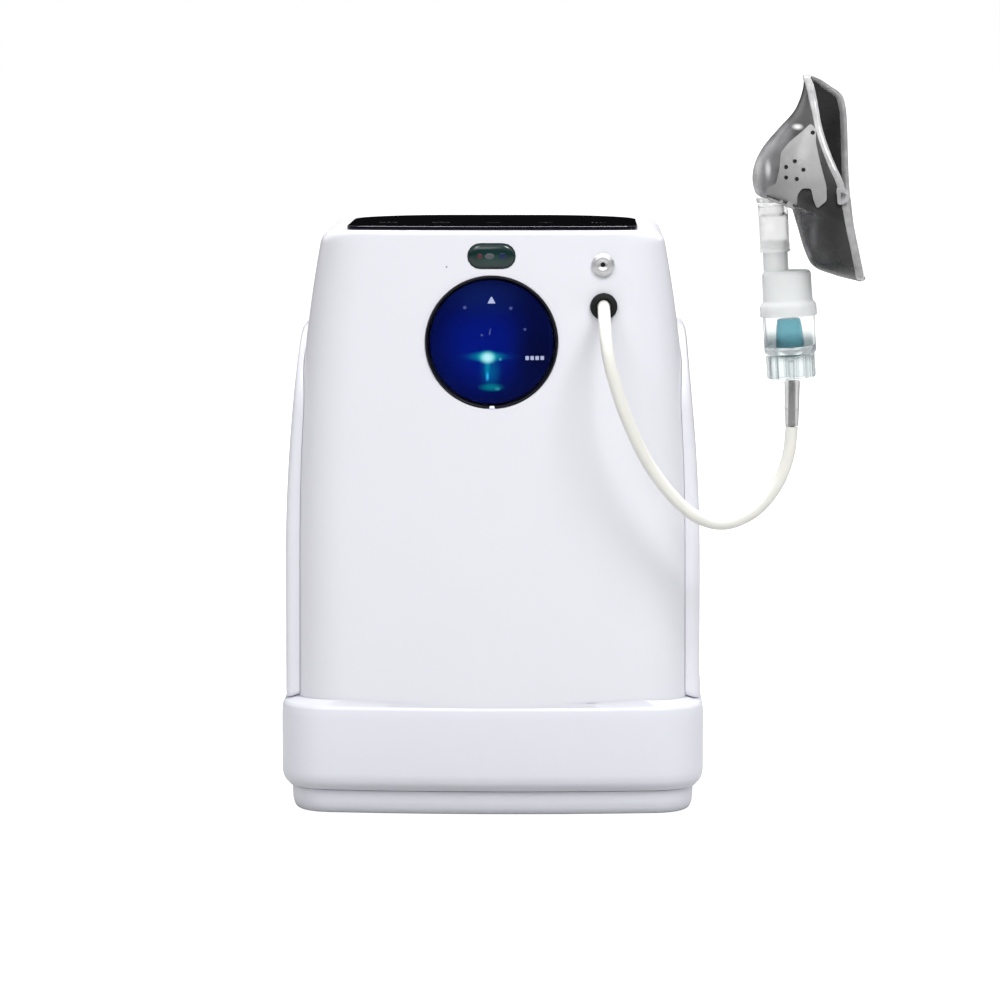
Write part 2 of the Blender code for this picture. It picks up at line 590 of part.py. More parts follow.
def mask_surface(columns=10):
    """Open grid of the mask: a dome across each section, ending in a lip that flares out."""
    grid = []
    for dome_x, dome_z, rim_x, rim_z, half_width in MASK_SECTIONS:
        rim = Vector((rim_x, 0, rim_z))
        reach = Vector((dome_x, 0, dome_z)) - rim
        lip = min(1.0, half_width / 20)
        row = [rim + Vector((4.5 * lip, -(half_width + 2.0 * lip), 0)),
               rim + Vector((1.8 * lip, -(half_width + 2.8 * lip), 0))]
        for step in range(columns + 1):
            angle = math.pi * step / columns - math.pi / 2
            row.append(rim + reach * math.cos(angle) ** 0.8 + Vector((0, half_width * math.sin(angle), 0)))
        row += [Vector((p.x, -p.y, p.z)) for p in (row[1], row[0])]
        grid.append(row)
    return grid


def make_mask():
    """A clear face mask on the collar, with a round port below its nose and vents in both cheeks."""
    pivot = kit_place(KIT_OUTLET_X, COLLAR_TOP)
    grid = mask_surface()
    width = len(grid[0])
    points = [point - Vector((pivot.x, 0, pivot.z)) for row in grid for point in row]
    faces = [(r * width + c, r * width + c + 1, (r + 1) * width + c + 1, (r + 1) * width + c)
             for r in range(len(grid) - 1) for c in range(width - 1)]
    mask = add_object("mask_shell", mesh_from("mask_shell", points, faces), "clear_plastic", pivot, (0, 0, MASK_TURN))
    wall = mask.modifiers.new("wall", "SOLIDIFY")
    wall.thickness = MASK_WALL * MM
    wall.offset = 0
    port = moved(turned_mesh("port", rod(7.1, -9, 7), 24), pivot, (0, KIT_TILT, 0))
    combine(mask, [port])
    vents = [(174.5, 381.0), (169.5, 377.5), (179.0, 376.0), (169.8, 371.5), (175.5, 370.5)]
    combine(mask, [front_rod(1.2, x, z, -170, -60, segments=8) for x, z in vents])


# ---------------------------------------------------------------- back fittings

def rectangle(width, height, y, centre=(0, 0)):
    x, z = centre
    corners = [(-1, -1), (1, -1), (1, 1), (-1, 1)]
    return [(x + i * width / 2, y, z + j * height / 2) for i, j in corners]


def make_filter_bay():
    """The louvred door on the back and the two filters behind it."""
    bottom, top = DOOR_Z
    middle = (bottom + top) / 2
    half = DOOR_THICKNESS / 2
    edge = [(-half * math.sin(math.radians(a)), half * math.cos(math.radians(a))) for a in range(0, 181, 30)]
    width = 2 * DOOR_X - half
    section = edge + [(width - 0.6, -half), (width, -half + 0.6), (width, half)]
    rings = [[(x, y, z) for x, y in section] for z in (bottom - middle, top - middle)]
    pivot = (-DOOR_X + half, CASE_BACK - half, middle)
    door = add_object("filter_door", lofted("filter_door", rings), "white_plastic", pivot)
    combine(door, [block_mesh("cut", (60, 10, 3.2), (0, CASE_BACK, middle - 30 + 7.5 * row)) for row in range(9)])
    block("foam_filter", (76, 8, 80), (0, 94, middle), "foam")
    block("hepa_filter", (76, 12, 80), (0, 83.6, middle), "filter_paper")


def make_power_fittings():
    """Mains inlet, rocker switch, breaker and a blank plate, low on the back."""
    seat = CASE_BACK + GAP
    inlet = [rectangle(24, 16.5, 92, INLET), rectangle(24, 16.5, seat + 2.4, INLET),
             rectangle(31, 24, seat + 2.4, INLET), rectangle(31, 24, seat, INLET),
             rectangle(27, 20, seat, INLET), rectangle(27, 20, 86, INLET)]
    socket = add_object("power_inlet", lofted("power_inlet", inlet), "black_plastic")
    pins = [block_mesh("pin", (2, 12, 4), (INLET[0] + dx, 97, INLET[1] + dz)) for dx, dz in ((-7, -2), (7, -2), (0, 2))]
    combine(socket, pins, "UNION")

    bezel = [rectangle(10.8, 17, 92, SWITCH), rectangle(10.8, 17, seat + 1.8, SWITCH),
             rectangle(16, 22, seat + 1.8, SWITCH), rectangle(16, 22, seat, SWITCH),
             rectangle(12.6, 18.6, seat, SWITCH), rectangle(12.6, 18.6, 92, SWITCH)]
    add_object("switch_bezel", lofted_tube("switch_bezel", bezel), "black_plastic")
    side = [(2.4, -7.9), (1.0, 0), (2.4, 7.9), (-4, 5.4), (-6.5, 0), (-4, -5.4)]
    rings = [[(x, y, z) for y, z in side] for x in (-5.0, 5.0)]
    add_object("switch_rocker", lofted("switch_rocker", rings), "black_plastic",
               (SWITCH[0], CASE_BACK + 1, SWITCH[1]), (math.radians(-9), 0, 0))

    body = block("breaker_body", (16, 14, 20), (BREAKER[0], 91, BREAKER[1]), "black_plastic")
    combine(body, [front_rod(4.3, *BREAKER, 86, 110, segments=20)])
    button = [(0, 12), (4, 12), (4, -3.2), (3.2, -4), (0, -4)]
    turned("breaker_button", button, "black_plastic", (BREAKER[0], CASE_BACK, BREAKER[1]), FACING_FRONT, 20)
    block("blank_plate", (50, 0.6, 22), (LABEL[0], seat + 0.3, LABEL[1]), "aluminium")


def make_grip():
    """The moulded pocket that the fingers hook into to lift the cabinet from behind."""
    seat = CASE_BACK + GAP
    width, height = GRIP_SIZE
    centre = (0, GRIP_Z)
    rings = [rectangle(width, height, CASE_BACK - GRIP_DEPTH, centre), rectangle(width, height, seat + 1.4, centre),
             rectangle(width + 10, height + 10, seat + 1.4, centre), rectangle(width + 10, height + 10, seat, centre),
             rectangle(width + 4, height + 4, seat, centre),
             rectangle(width + 4, height + 4, CASE_BACK - GRIP_DEPTH - 2, centre)]
    add_object("grip_pocket", lofted("grip_pocket", rings), "grey_plastic")


def fan_blades(hub, tip, depth, count, chord_deg):
    """Twisted blades that start inside the hub, for a union with it."""
    blades = []
    for i in range(count):
        start = 2 * math.pi * i / count
        rings = []
        for radius in (hub - 1.5, (hub + tip) / 2, tip):
            half = math.radians(chord_deg) / 2
            corners = [(-half, -depth / 2), (half, depth / 2 - 1.2), (half, depth / 2), (-half, 1.2 - depth / 2)]
            rings.append([(radius * math.cos(start + a), radius * math.sin(start + a), z) for a, z in corners])
        blades.append(lofted("blade", rings))
    return blades


def make_cooling_fan():
    """The fan behind the rear louvres: a square frame with a spider, and its rotor."""
    x, y, z = FAN
    half = FAN_DEPTH / 2
    frame = block("fan_frame", (FAN_SIZE, FAN_DEPTH, FAN_SIZE), FAN, "black_plastic")
    combine(frame, [front_rod(27.5, x, z, y - half + 2.5, y + half + 5, segments=32)])
    openings = []
    for quarter in range(4):
        angles = [math.radians(90 * quarter + 8 + 74 * step / 5) for step in range(6)]
        section = [(26.0 * math.cos(a), 26.0 * math.sin(a)) for a in angles]
        section += [(11.5 * math.cos(a), 11.5 * math.sin(a)) for a in angles[::-1]]
        rings = [[(px, py, depth) for px, py in section] for depth in (-20, 20)]
        openings.append(moved(lofted("cut", rings), (x, y - half, z), FACING_FRONT))
    combine(frame, openings)
    hub = turned("fan_rotor", rod(10.5, -7.5, 7.5), "black_plastic", (x, y + 2, z), FACING_FRONT, 24)
    blades = [moved(mesh, (x, y + 2, z), FACING_FRONT) for mesh in fan_blades(10.5, 26.6, 11.0, 7, 34)]
    combine(hub, blades, "UNION")


# ---------------------------------------------------------------- machinery

def make_compressor():
    """A twin-head oil-less compressor on four rubber mounts, with its own cooling fan."""
    radius = COMPRESSOR_RADIUS
    arc = [math.radians(-60 + 300 * step / 20) for step in range(21)]
    foot = -COMPRESSOR_Z + 28
    section = [(radius * math.cos(a), radius * math.sin(a)) for a in arc]
    section += [(-16, foot + 3), (-40, foot + 3), (-40, foot), (40, foot), (40, foot + 3), (16, foot + 3)]
    half = COMPRESSOR_LENGTH / 2
    rings = [[(x, y, z) for y, z in section] for x in (-half, half)]
    add_object("compressor_body", lofted("compressor_body", rings), "aluminium", (0, 0, COMPRESSOR_Z))
    fins = [(0, -22), (17, -22), (17, 6)]
    for step in range(3):
        low = 6 + 9 * step
        fins += [(13.5, low), (13.5, low + 5), (17, low + 5), (17, low + 9)]
    fins.append((0, 33))
    for side, label in ((-1, "left"), (1, "right")):
        place = (side * (half + GAP + 17), 0, COMPRESSOR_Z)
        turned(f"compressor_head_{label}", fins, "aluminium", place, segments=16)
    fan_x = half + 2 * GAP + 34 + 7
    fan = turned("compressor_fan", rod(9, -5, 5), "grey_plastic", (fan_x, 0, COMPRESSOR_Z), FACING_RIGHT, 20)
    blades = [moved(mesh, (fan_x, 0, COMPRESSOR_Z), FACING_RIGHT) for mesh in fan_blades(9, 27, 7.5, 6, 36)]
    combine(fan, blades, "UNION")
    corners = [(x, y) for x in (-1, 1) for y in (-1, 1)]
    for i, (x, y) in enumerate(corners, start=1):
        profile = [(0, TRAY_FLOOR + GAP), (8, TRAY_FLOOR + GAP), (6.5, 17.5), (8, 28 - GAP), (0, 28 - GAP)]
        turned(f"compressor_mount_{i}", profile, "rubber", (x * MOUNT_PLACE[0], y * MOUNT_PLACE[1], 0), segments=16)


def make_gas_parts():
    """Shelf, sieve columns, valve block with two solenoids, and the oxygen tank."""
    block("chassis_shelf", (208, 140, SHELF_THICKNESS), (0, -4, SHELF_Z + SHELF_THICKNESS / 2), "steel")
    floor = SHELF_Z + SHELF_THICKNESS + GAP
    for side, label in ((-1, "left"), (1, "right")):
        radius = COLUMN_RADIUS
        column = [(0, 0), (radius, 0), (radius, 8), (radius - 2, 9), (radius - 2, COLUMN_HEIGHT - 9),
                  (radius, COLUMN_HEIGHT - 8), (radius, COLUMN_HEIGHT), (0, COLUMN_HEIGHT)]
        turned(f"sieve_column_{label}", column, "aluminium", (side * COLUMN_X, COLUMN_Y, floor), segments=20)
        solenoid = [(0, 0), (10, 0), (10, 22), (6, 22.5), (5, 30), (0, 30)]
        turned(f"solenoid_{label}", solenoid, "black_plastic", (side * 20, -6, floor + 22 + GAP), segments=20)
    block("valve_manifold", (76, 24, 22), (0, -6, floor + 11), "aluminium", bevel=1.5)
    tank = [(0, 0), (TANK_RADIUS - 5, 0), (TANK_RADIUS, 5), (TANK_RADIUS, TANK_HEIGHT - 5),
            (TANK_RADIUS - 5, TANK_HEIGHT), (0, TANK_HEIGHT)]
    turned("oxygen_tank", tank, "grey_plastic", (TANK_X, TANK_Y, floor), segments=20)
    block("power_supply", (44, 52, 57), (79, -34, floor + 28.5), "aluminium", bevel=1.0)
    block("control_board", (96, 1.6, 84), (0, -84, floor + 49), "circuit_board")


def main():
    clear_scene()
    make_shells()
    make_side_cover("side_cover_left", -1)
    make_side_cover("side_cover_right", 1)
    make_base()
    make_top_panel()
    make_window()
    make_front_fittings()
    make_hose()
    make_nebuliser()
    make_mask()
    make_filter_bay()
    make_power_fittings()
    make_grip()
    make_cooling_fan()
    make_compressor()
    make_gas_parts()


main()
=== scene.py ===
"""Home oxygen concentrator with its nebuliser kit: the looks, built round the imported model.

Shapes are worked out in millimetres and made in metres, in the model's own frame: +Z is up and the
front faces -Y. The camera and the hose come first, then the finishes, the cabinet and its fittings,
the nebuliser, the mask and the studio.
"""

import json
import math

import bmesh
import bpy
from mathutils import Matrix, Vector
from mathutils.bvhtree import BVHTree


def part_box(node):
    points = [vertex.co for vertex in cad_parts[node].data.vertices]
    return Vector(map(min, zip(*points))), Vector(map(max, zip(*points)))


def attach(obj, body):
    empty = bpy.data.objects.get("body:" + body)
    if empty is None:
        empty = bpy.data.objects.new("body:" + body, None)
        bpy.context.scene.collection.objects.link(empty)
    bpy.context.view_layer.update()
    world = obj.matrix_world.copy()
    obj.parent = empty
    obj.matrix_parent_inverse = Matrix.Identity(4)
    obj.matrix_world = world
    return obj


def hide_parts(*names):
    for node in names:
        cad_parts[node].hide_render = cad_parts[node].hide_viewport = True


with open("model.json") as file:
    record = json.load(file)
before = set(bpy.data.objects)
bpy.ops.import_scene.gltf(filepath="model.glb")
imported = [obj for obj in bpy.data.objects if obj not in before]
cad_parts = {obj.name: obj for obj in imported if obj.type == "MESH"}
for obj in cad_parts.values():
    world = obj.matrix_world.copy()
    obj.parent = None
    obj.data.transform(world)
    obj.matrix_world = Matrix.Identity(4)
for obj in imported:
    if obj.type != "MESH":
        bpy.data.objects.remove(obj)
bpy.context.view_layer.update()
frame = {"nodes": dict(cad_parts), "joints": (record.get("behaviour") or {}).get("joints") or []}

MM = 0.001
GAP = 0.3                       # clearance between neighbouring pieces
FACING_FRONT = Matrix.Rotation(math.pi / 2, 4, "X")     # local Z points to the front, local Y points up


def box_mm(node):
    low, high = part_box(node)
    return low / MM, high / MM


def middle(node):
    low, high = box_mm(node)
    return (low + high) / 2


# Cabinet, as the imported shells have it.
CASE_LOW, CASE_HIGH = box_mm("front_shell")
CASE_HALF_WIDTH, CASE_BOTTOM, CASE_TOP = CASE_HIGH.x, CASE_LOW.z, CASE_HIGH.z
CASE_FRONT, CASE_BACK = CASE_LOW.y, box_mm("rear_shell")[1].y
CASE_LEAN, CASE_TAPER, TAPER_START = 3.0, 15.5, 150.0
CASE_CORNERS = (34.0, 30.0)     # front and back corner radius
BOW_ANGLE = math.radians(6.5)   # slope of the bowed front where it meets the corner
EDGE_RADIUS, FRONT_EDGE_SHARE, WALL = 8.0, 0.3, 2.5
SIDE_WINDOW, SIDE_WINDOW_Z = (300.0, 96.0, 140.0), 180.0

COVER_HIGH = box_mm("side_cover_right")[1]
COVER_HALF_WIDTH, COVER_DEPTH = COVER_HIGH.x, COVER_HIGH.y
COVER_BOTTOM, COVER_TOP = 68.6, COVER_HIGH.z
COVER_ARCH = 52.0
VENT_Z = [120.0 + 15.0 * row for row in range(9)]
VENT_LENGTH, VENT_HEIGHT = 104.0, 4.5

BAND_LOW, BAND_HIGH = box_mm("lower_band")
BAND_TOP, LEDGE_RISE = 65.0, 0.35       # the band's edge, and the slope from it up to the shell
BAND_CORNERS = (31.0, 30.0)
BASE_INSET = 6.0

# Front fittings.
WINDOW = middle("window_ring")
WINDOW_FACE_Y = box_mm("window_ring")[0].y + 2.4
WINDOW_RADIUS = (box_mm("window_ring")[1].x - box_mm("window_ring")[0].x) / 2
COVER_RADIUS = (box_mm("window_cover")[1].x - box_mm("window_cover")[0].x) / 2
LENS = middle("ir_lens")
LENS_HALF = (box_mm("ir_lens")[1] - box_mm("ir_lens")[0]) / 2
OUTLET = middle("oxygen_outlet")
GROMMET = middle("hose_grommet")
PINHOLE = Vector((-26.0, 0, 322.2))

# Hose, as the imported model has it, and the nebuliser's own tilted frame.
HOSE_ROUTE = [
    (0.0650, -0.0980, 0.2993), (0.0650, -0.1050, 0.2993), (0.0651, -0.1170, 0.2969),
    (0.0655, -0.1278, 0.2896), (0.0665, -0.1350, 0.2790), (0.0692, -0.1378, 0.2650),
    (0.0779, -0.1360, 0.2380), (0.0924, -0.1310, 0.2082), (0.1129, -0.1260, 0.1837),
    (0.1326, -0.1210, 0.1752), (0.1516, -0.1180, 0.1818), (0.1650, -0.1160, 0.1972),
    (0.1716, -0.1152, 0.2145), (0.1735, -0.1150, 0.2310),
]
HOSE_DIAMETER = 0.0072
KIT_JOINT = next(joint for joint in frame["joints"] if joint["name"] == "nebulizer_twist")
KIT_BASE = Vector(KIT_JOINT["pos_m"]) / MM
KIT_TURN = Matrix.Rotation(math.atan2(KIT_JOINT["axis"][0], KIT_JOINT["axis"][2]), 4, "Y")
KIT_OUTLET_X = -5.8             # the chimney stands off the jar's axis
CUP_TOP, CAP_BOTTOM, CAP_TOP, CHIMNEY_TOP = 38.0, 34.8, 62.5, 80.0
COLLAR_BOTTOM, COLLAR_TOP = 73.5, 99.0
RIB_COUNT = 14                  # on the jar's foot

# Each section of the mask, top to bottom: dome x and z, near rim x and z, far rim x and z, half width.
MASK_SECTIONS = [
    (179.6, 433.0, 180.8, 432.2, 182.6, 432.6, 2.5),
    (179.2, 425.4, 182.8, 425.6, 191.5, 426.8, 9.0),
    (176.6, 417.0, 184.4, 416.6, 200.2, 420.4, 14.5),
    (173.0, 410.6, 185.4, 409.6, 202.6, 411.0, 19.0),
    (165.6, 402.5, 187.0, 401.4, 203.6, 401.4, 24.0),
    (157.2, 392.6, 190.0, 391.8, 204.2, 391.2, 28.5),
    (152.4, 383.8, 193.8, 382.2, 204.8, 381.0, 32.0),
    (150.6, 375.4, 197.8, 373.4, 205.4, 372.0, 34.5),
    (151.6, 368.0, 200.2, 364.6, 206.2, 363.6, 36.0),
    (154.4, 364.4, 201.8, 357.2, 207.2, 356.6, 37.0),
    (162.5, 362.6, 203.2, 350.4, 208.0, 349.6, 37.5),
    (171.4, 360.6, 205.0, 343.4, 209.2, 342.6, 37.0),
    (176.4, 347.2, 207.0, 335.4, 210.6, 334.8, 35.0),
    (180.6, 333.6, 209.0, 327.2, 212.0, 326.6, 29.0),
    (186.0, 324.0, 210.8, 320.4, 213.4, 320.2, 19.0),
    (198.0, 319.2, 212.2, 316.0, 213.8, 316.0, 8.0),
]
MASK_MIDDLE_Y, MASK_INSIDE_X = -116.0, 198.0
MASK_WALL = 1.4
# The breathing holes and the outline of the cheek round them, in x and z; the cheek's pale grey is a painted
# reflection.
MASK_VENTS = [(167.9, 381.4), (172.8, 384.7), (177.5, 380.0), (167.9, 375.5), (173.8, 374.8), (183.0, 400.7)]
CHEEK_OUTLINE = [
    (182.1, 405.9), (175.0, 399.5), (170.0, 395.3), (165.3, 389.4), (164.3, 379.7), (162.5, 371.8),
    (157.6, 369.4), (157.2, 363.4), (163.0, 361.6), (170.0, 358.2), (173.8, 357.4), (174.1, 365.6),
    (176.7, 369.6), (181.8, 369.6), (183.2, 362.8), (185.2, 358.2), (190.6, 362.8), (190.3, 371.3),
    (188.4, 378.3), (186.6, 385.4), (184.6, 395.3), (184.9, 402.4),
]


# ---------------------------------------------------------------- mesh helpers

def mesh_from(name, points, faces):
    """A mesh from points in millimetres, with its faces turned outwards."""
    mesh = bpy.data.meshes.new(name)
    mesh.from_pydata([Vector(point) * MM for point in points], [], faces)
    shape = bmesh.new()
    shape.from_mesh(mesh)
    bmesh.ops.remove_doubles(shape, verts=shape.verts, dist=1e-7)
    bmesh.ops.recalc_face_normals(shape, faces=shape.faces)
    shape.to_mesh(mesh)
    shape.free()
    return mesh


def skin(rings, loop=False):
    """Faces between neighbouring rings of equal length; loop joins the last ring to the first."""
    count = len(rings[0])
    pairs = len(rings) if loop else len(rings) - 1
    faces = []
    for row in range(pairs):
        low, high = row * count, ((row + 1) % len(rings)) * count
        for i in range(count):
            j = (i + 1) % count
            faces.append((low + i, low + j, high + j, high + i))
    return faces


def lofted(name, rings):
    """A solid through rings of points, closed at both ends."""
    count = len(rings[0])
    faces = skin(rings)
    faces.append(tuple(range(count)))
    faces.append(tuple(range(len(rings) * count - count, len(rings) * count)))
    return mesh_from(name, [point for ring in rings for point in ring], faces)


def lofted_tube(name, rings):
    """A solid whose rings run up the outside and back down the inside."""
    return mesh_from(name, [point for ring in rings for point in ring], skin(rings, loop=True))


def rounded(profile, radius, steps=4, loop=False):
    """The profile with each inner corner replaced by a short curve."""
    points = [Vector(point) for point in profile]
    last = len(points) - 1
    result = []
    for i, corner in enumerate(points):
        if not loop and i in (0, last):
            result.append(tuple(corner))
            continue
        before, after = points[i - 1], points[(i + 1) % len(points)]
        reach = min(radius, (before - corner).length * 0.45, (after - corner).length * 0.45)
        start = corner + (before - corner).normalized() * reach
        end = corner + (after - corner).normalized() * reach
        for step in range(steps + 1):
            t = step / steps
            result.append(tuple(start * (1 - t) ** 2 + corner * 2 * t * (1 - t) + end * t ** 2))
    return result


def turned(name, profile, place=(0, 0, 0), turn=None, segments=96, loop=False, stretch=(1, 1)):
    """A body of revolution about local Z: (radius, height) points, from axis to axis or as a loop."""
    angles = [2 * math.pi * step / segments for step in range(segments)]
    rings = [[(radius * math.cos(a) * stretch[0], radius * math.sin(a) * stretch[1], height) for a in angles]
             for radius, height in profile]
    points = [point for ring in rings for point in ring]
    return moved(mesh_from(name, points, skin(rings, loop)), place, turn)


def rod(radius, low, high):
    """Profile of a plain cylinder, used for cuts."""
    return [(0, low), (radius, low), (radius, high), (0, high)]


def moved(mesh, place=(0, 0, 0), turn=None):
    """The mesh with a turn and then a shift in millimetres applied to its points."""
    mesh.transform(Matrix.Translation(Vector(place) * MM) @ (turn or Matrix.Identity(4)))
    return mesh


def block(size, centre):
    """A box used as a cutter."""
    half = Vector(size) / 2
    rings = [[(centre[0] + i * half.x, centre[1] + j * half.y, centre[2] + k * half.z)
              for i, j in ((-1, -1), (1, -1), (1, 1), (-1, 1))] for k in (-1, 1)]
    return lofted("block", rings)


def capsule(length, height, steps=8):
    """An outline with straight long sides and round ends."""
    half, radius = length / 2 - height / 2, height / 2
    outline = []
    for side in (1, -1):
        for step in range(steps + 1):
            angle = math.pi * (step / steps - 0.5)
            outline.append((side * (half + radius * math.cos(angle)), side * radius * math.sin(angle)))
    return outline


def slot_cut(length, height, low, high, centre, axis):
    """A cutter with round ends, along X or Y, that runs through a wall from low to high."""
    outline = capsule(length, height)
    if axis == "X":
        rings = [[(centre[0] + a, depth, centre[1] + b) for a, b in outline] for depth in (low, high)]
    else:
        rings = [[(depth, centre[0] + a, centre[1] + b) for a, b in outline] for depth in (low, high)]
    return lofted("slot", rings)


def front_rod(radius, x, z, near, far):
    """A round cutter along Y between two depths."""
    return turned("front_rod", rod(radius, -far, -near), (x, 0, z), FACING_FRONT, 64)


def joined(name, meshes):
    """One mesh that holds several separate closed bodies."""
    shape = bmesh.new()
    for mesh in meshes:
        shape.from_mesh(mesh)
    result = bpy.data.meshes.new(name)
    shape.to_mesh(result)
    shape.free()
    return result


def combined(mesh, others, operation="DIFFERENCE"):
    """The mesh less the others, or united with them."""
    target = bpy.data.objects.new("target", mesh)
    helper = bpy.data.objects.new("helper", joined("helper", others))
    for obj in (target, helper):
        bpy.context.scene.collection.objects.link(obj)
    modifier = target.modifiers.new("combine", "BOOLEAN")
    modifier.operation = operation
    modifier.object = helper
    graph = bpy.context.evaluated_depsgraph_get()
    result = bpy.data.meshes.new_from_object(target.evaluated_get(graph))
    for obj in (target, helper):
        bpy.data.objects.remove(obj)
    result.materials.clear()
    return result


def piece(name, mesh, material, body, *replaced, slot, sharp=35, weighted=False):
    """Puts a mesh in the scene as a piece that rides on a body and may stand for CAD nodes."""
    obj = bpy.data.objects.new(name, mesh)
    bpy.context.scene.collection.objects.link(obj)
    mesh.materials.append(material)
    mesh.shade_smooth()
    mesh.set_sharp_from_angle(angle=math.radians(sharp))
    if weighted:
        normals = obj.modifiers.new("normals", "WEIGHTED_NORMAL")
        normals.keep_sharp = True
    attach(obj, body)
    if replaced:
        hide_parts(*replaced)
    return obj


def smooth_route(points, count, closed=False):
    """Points on a smooth curve through the given ones."""
    route = [Vector(point) for point in points]
    if closed:
        route = [route[-1]] + route + route[:2]
        spans = len(points)
    else:
        route = [2 * route[0] - route[1]] + route + [2 * route[-1] - route[-2]]
        spans = len(points) - 1
    result = []
    for step in range(count):
        place = step * spans / (count if closed else count - 1)
        span = min(int(place), spans - 1)
        t = place - span
        a, b, c, d = route[span:span + 4]
        result.append(0.5 * ((2 * b) + (c - a) * t + (2 * a - 5 * b + 4 * c - d) * t ** 2
                             + (3 * b - a - 3 * c + d) * t ** 3))
    return result


# ---------------------------------------------------------------- finishes

class Finish:
    """One procedural material: a Principled shader driven by patterns in the piece's own space."""

    def __init__(self, name, colour, roughness, **inputs):
        self.material = bpy.data.materials.new(name)
        self.material.use_nodes = True
        self.tree = self.material.node_tree
        self.shader = self.tree.nodes["Principled BSDF"]
        self.base = colour
        self.set("Base Color", (*colour, 1))
        self.set("Roughness", roughness)
        for label, value in inputs.items():
            self.set(label.replace("_", " "), value)

    def set(self, label, value):
        self.shader.inputs[label].default_value = value

    def node(self, kind, inputs=(), **values):
        node = self.tree.nodes.new(kind)
        for key, value in values.items():
            setattr(node, key, value)
        for key, value in dict(inputs).items():
            self.feed(node.inputs[key], value)
        return node

    def feed(self, socket, value):
        """Links a socket to an output, or gives it a plain value."""
        if isinstance(value, bpy.types.NodeSocket):
            self.tree.links.new(value, socket)
        else:
            socket.default_value = value

    def space(self, stretch=(1, 1, 1)):
        """Coordinates in metres along the piece's own axes."""
        place = self.node("ShaderNodeTexCoord").outputs["Object"]
        return self.node("ShaderNodeMapping", {"Vector": place, "Scale": stretch}).outputs["Vector"]

    def noise(self, size, detail=2.0, stretch=(1, 1, 1)):
        """Soft noise with features about size metres across."""
        inputs = {"Vector": self.space(stretch), "Scale": 1 / size, "Detail": detail}
        return self.node("ShaderNodeTexNoise", inputs).outputs["Fac"]

    def cells(self, size, feature="F1", stretch=(1, 1, 1)):
        inputs = {"Vector": self.space(stretch), "Scale": 1 / size}
        return self.node("ShaderNodeTexVoronoi", inputs, feature=feature).outputs["Distance"]

    def bands(self, size, direction="X", distortion=0.0):
        inputs = {"Vector": self.space(), "Scale": 0.314 / size, "Distortion": distortion}
        return self.node("ShaderNodeTexWave", inputs, bands_direction=direction).outputs["Fac"]

    def along(self, axis):
        """One coordinate, in metres."""
        return self.node("ShaderNodeSeparateXYZ", {"Vector": self.space()}).outputs[axis]

    def spot(self, centre, size):
        """1 at a centre in millimetres, falling smoothly to 0 at an ellipsoid round it."""
        place = self.node("ShaderNodeTexCoord").outputs["Object"]
        shift = self.node("ShaderNodeVectorMath", operation="SUBTRACT")
        self.feed(shift.inputs[0], place)
        shift.inputs[1].default_value = Vector(centre) * MM
        scale = self.node("ShaderNodeVectorMath", operation="DIVIDE")
        self.feed(scale.inputs[0], shift.outputs[0])
        scale.inputs[1].default_value = Vector(size) * MM
        length = self.node("ShaderNodeVectorMath", operation="LENGTH")
        self.feed(length.inputs[0], scale.outputs[0])
        return self.remap(length.outputs["Value"], 1, 0, 0, 1, smooth=True)

    def remap(self, value, low, high, start=0.3, end=0.7, smooth=False):
        inputs = {"Value": value, "From Min": start, "From Max": end, "To Min": low, "To Max": high}
        kind = "SMOOTHERSTEP" if smooth else "LINEAR"
        return self.node("ShaderNodeMapRange", inputs, interpolation_type=kind).outputs["Result"]

    def blend(self, factor, first, second):
        """A mix of two colours, each a socket or three numbers."""
        node = self.node("ShaderNodeMix", data_type="RGBA")
        low, high = [socket for socket in node.inputs if socket.type == "RGBA"]
        for socket, value in ((node.inputs[0], factor), (low, first), (high, second)):
            plain = not isinstance(value, (bpy.types.NodeSocket, float, int))
            self.feed(socket, (*value, 1) if plain else value)
        return next(socket for socket in node.outputs if socket.type == "RGBA")

    def maths(self, operation, first, second):
        return self.node("ShaderNodeMath", {0: first, 1: second}, operation=operation).outputs[0]

    def paint(self, colour, label="Base Color"):
        self.feed(self.shader.inputs[label], colour)

    def gloss(self, value, low, high):
        self.feed(self.shader.inputs["Roughness"], self.remap(value, low, high))

    def bump(self, value, height):
        """Raises the surface by up to height metres."""
        inputs = {"Height": value, "Distance": height}
        if self.shader.inputs["Normal"].is_linked:
            inputs["Normal"] = self.shader.inputs["Normal"].links[0].from_socket
        self.feed(self.shader.inputs["Normal"], self.node("ShaderNodeBump", inputs).outputs["Normal"])


def moulded(name, colour, roughness, grain=0.0006, height=0.00002, drift=0.03, cloud=0.05, **inputs):
    """Moulded plastic or rubber: a slow drift of tone, uneven gloss and the tool's fine grain."""
    finish = Finish(name, colour, roughness, **inputs)
    low = [channel * (1 - drift) for channel in colour]
    high = [min(1.0, channel * (1 + drift)) for channel in colour]
    finish.paint(finish.blend(finish.noise(cloud), low, high))
    finish.gloss(finish.noise(1.6 * cloud, 1.0), roughness * 0.92, roughness * 1.08)
    finish.bump(finish.noise(grain), height)
    return finish.material


def brushed(name, colour, roughness, stretch):
    """Metal with fine lines along one axis and a faint stain."""
    finish = Finish(name, colour, roughness, Metallic=1.0)
    finish.paint(finish.blend(finish.noise(0.01, 3.0), [c * 0.82 for c in colour], colour))
    finish.gloss(finish.noise(0.001, 3.0, stretch), roughness * 0.7, roughness * 1.4)
    finish.bump(finish.noise(0.0006, 2.0, stretch), 0.00001)
    return finish.material


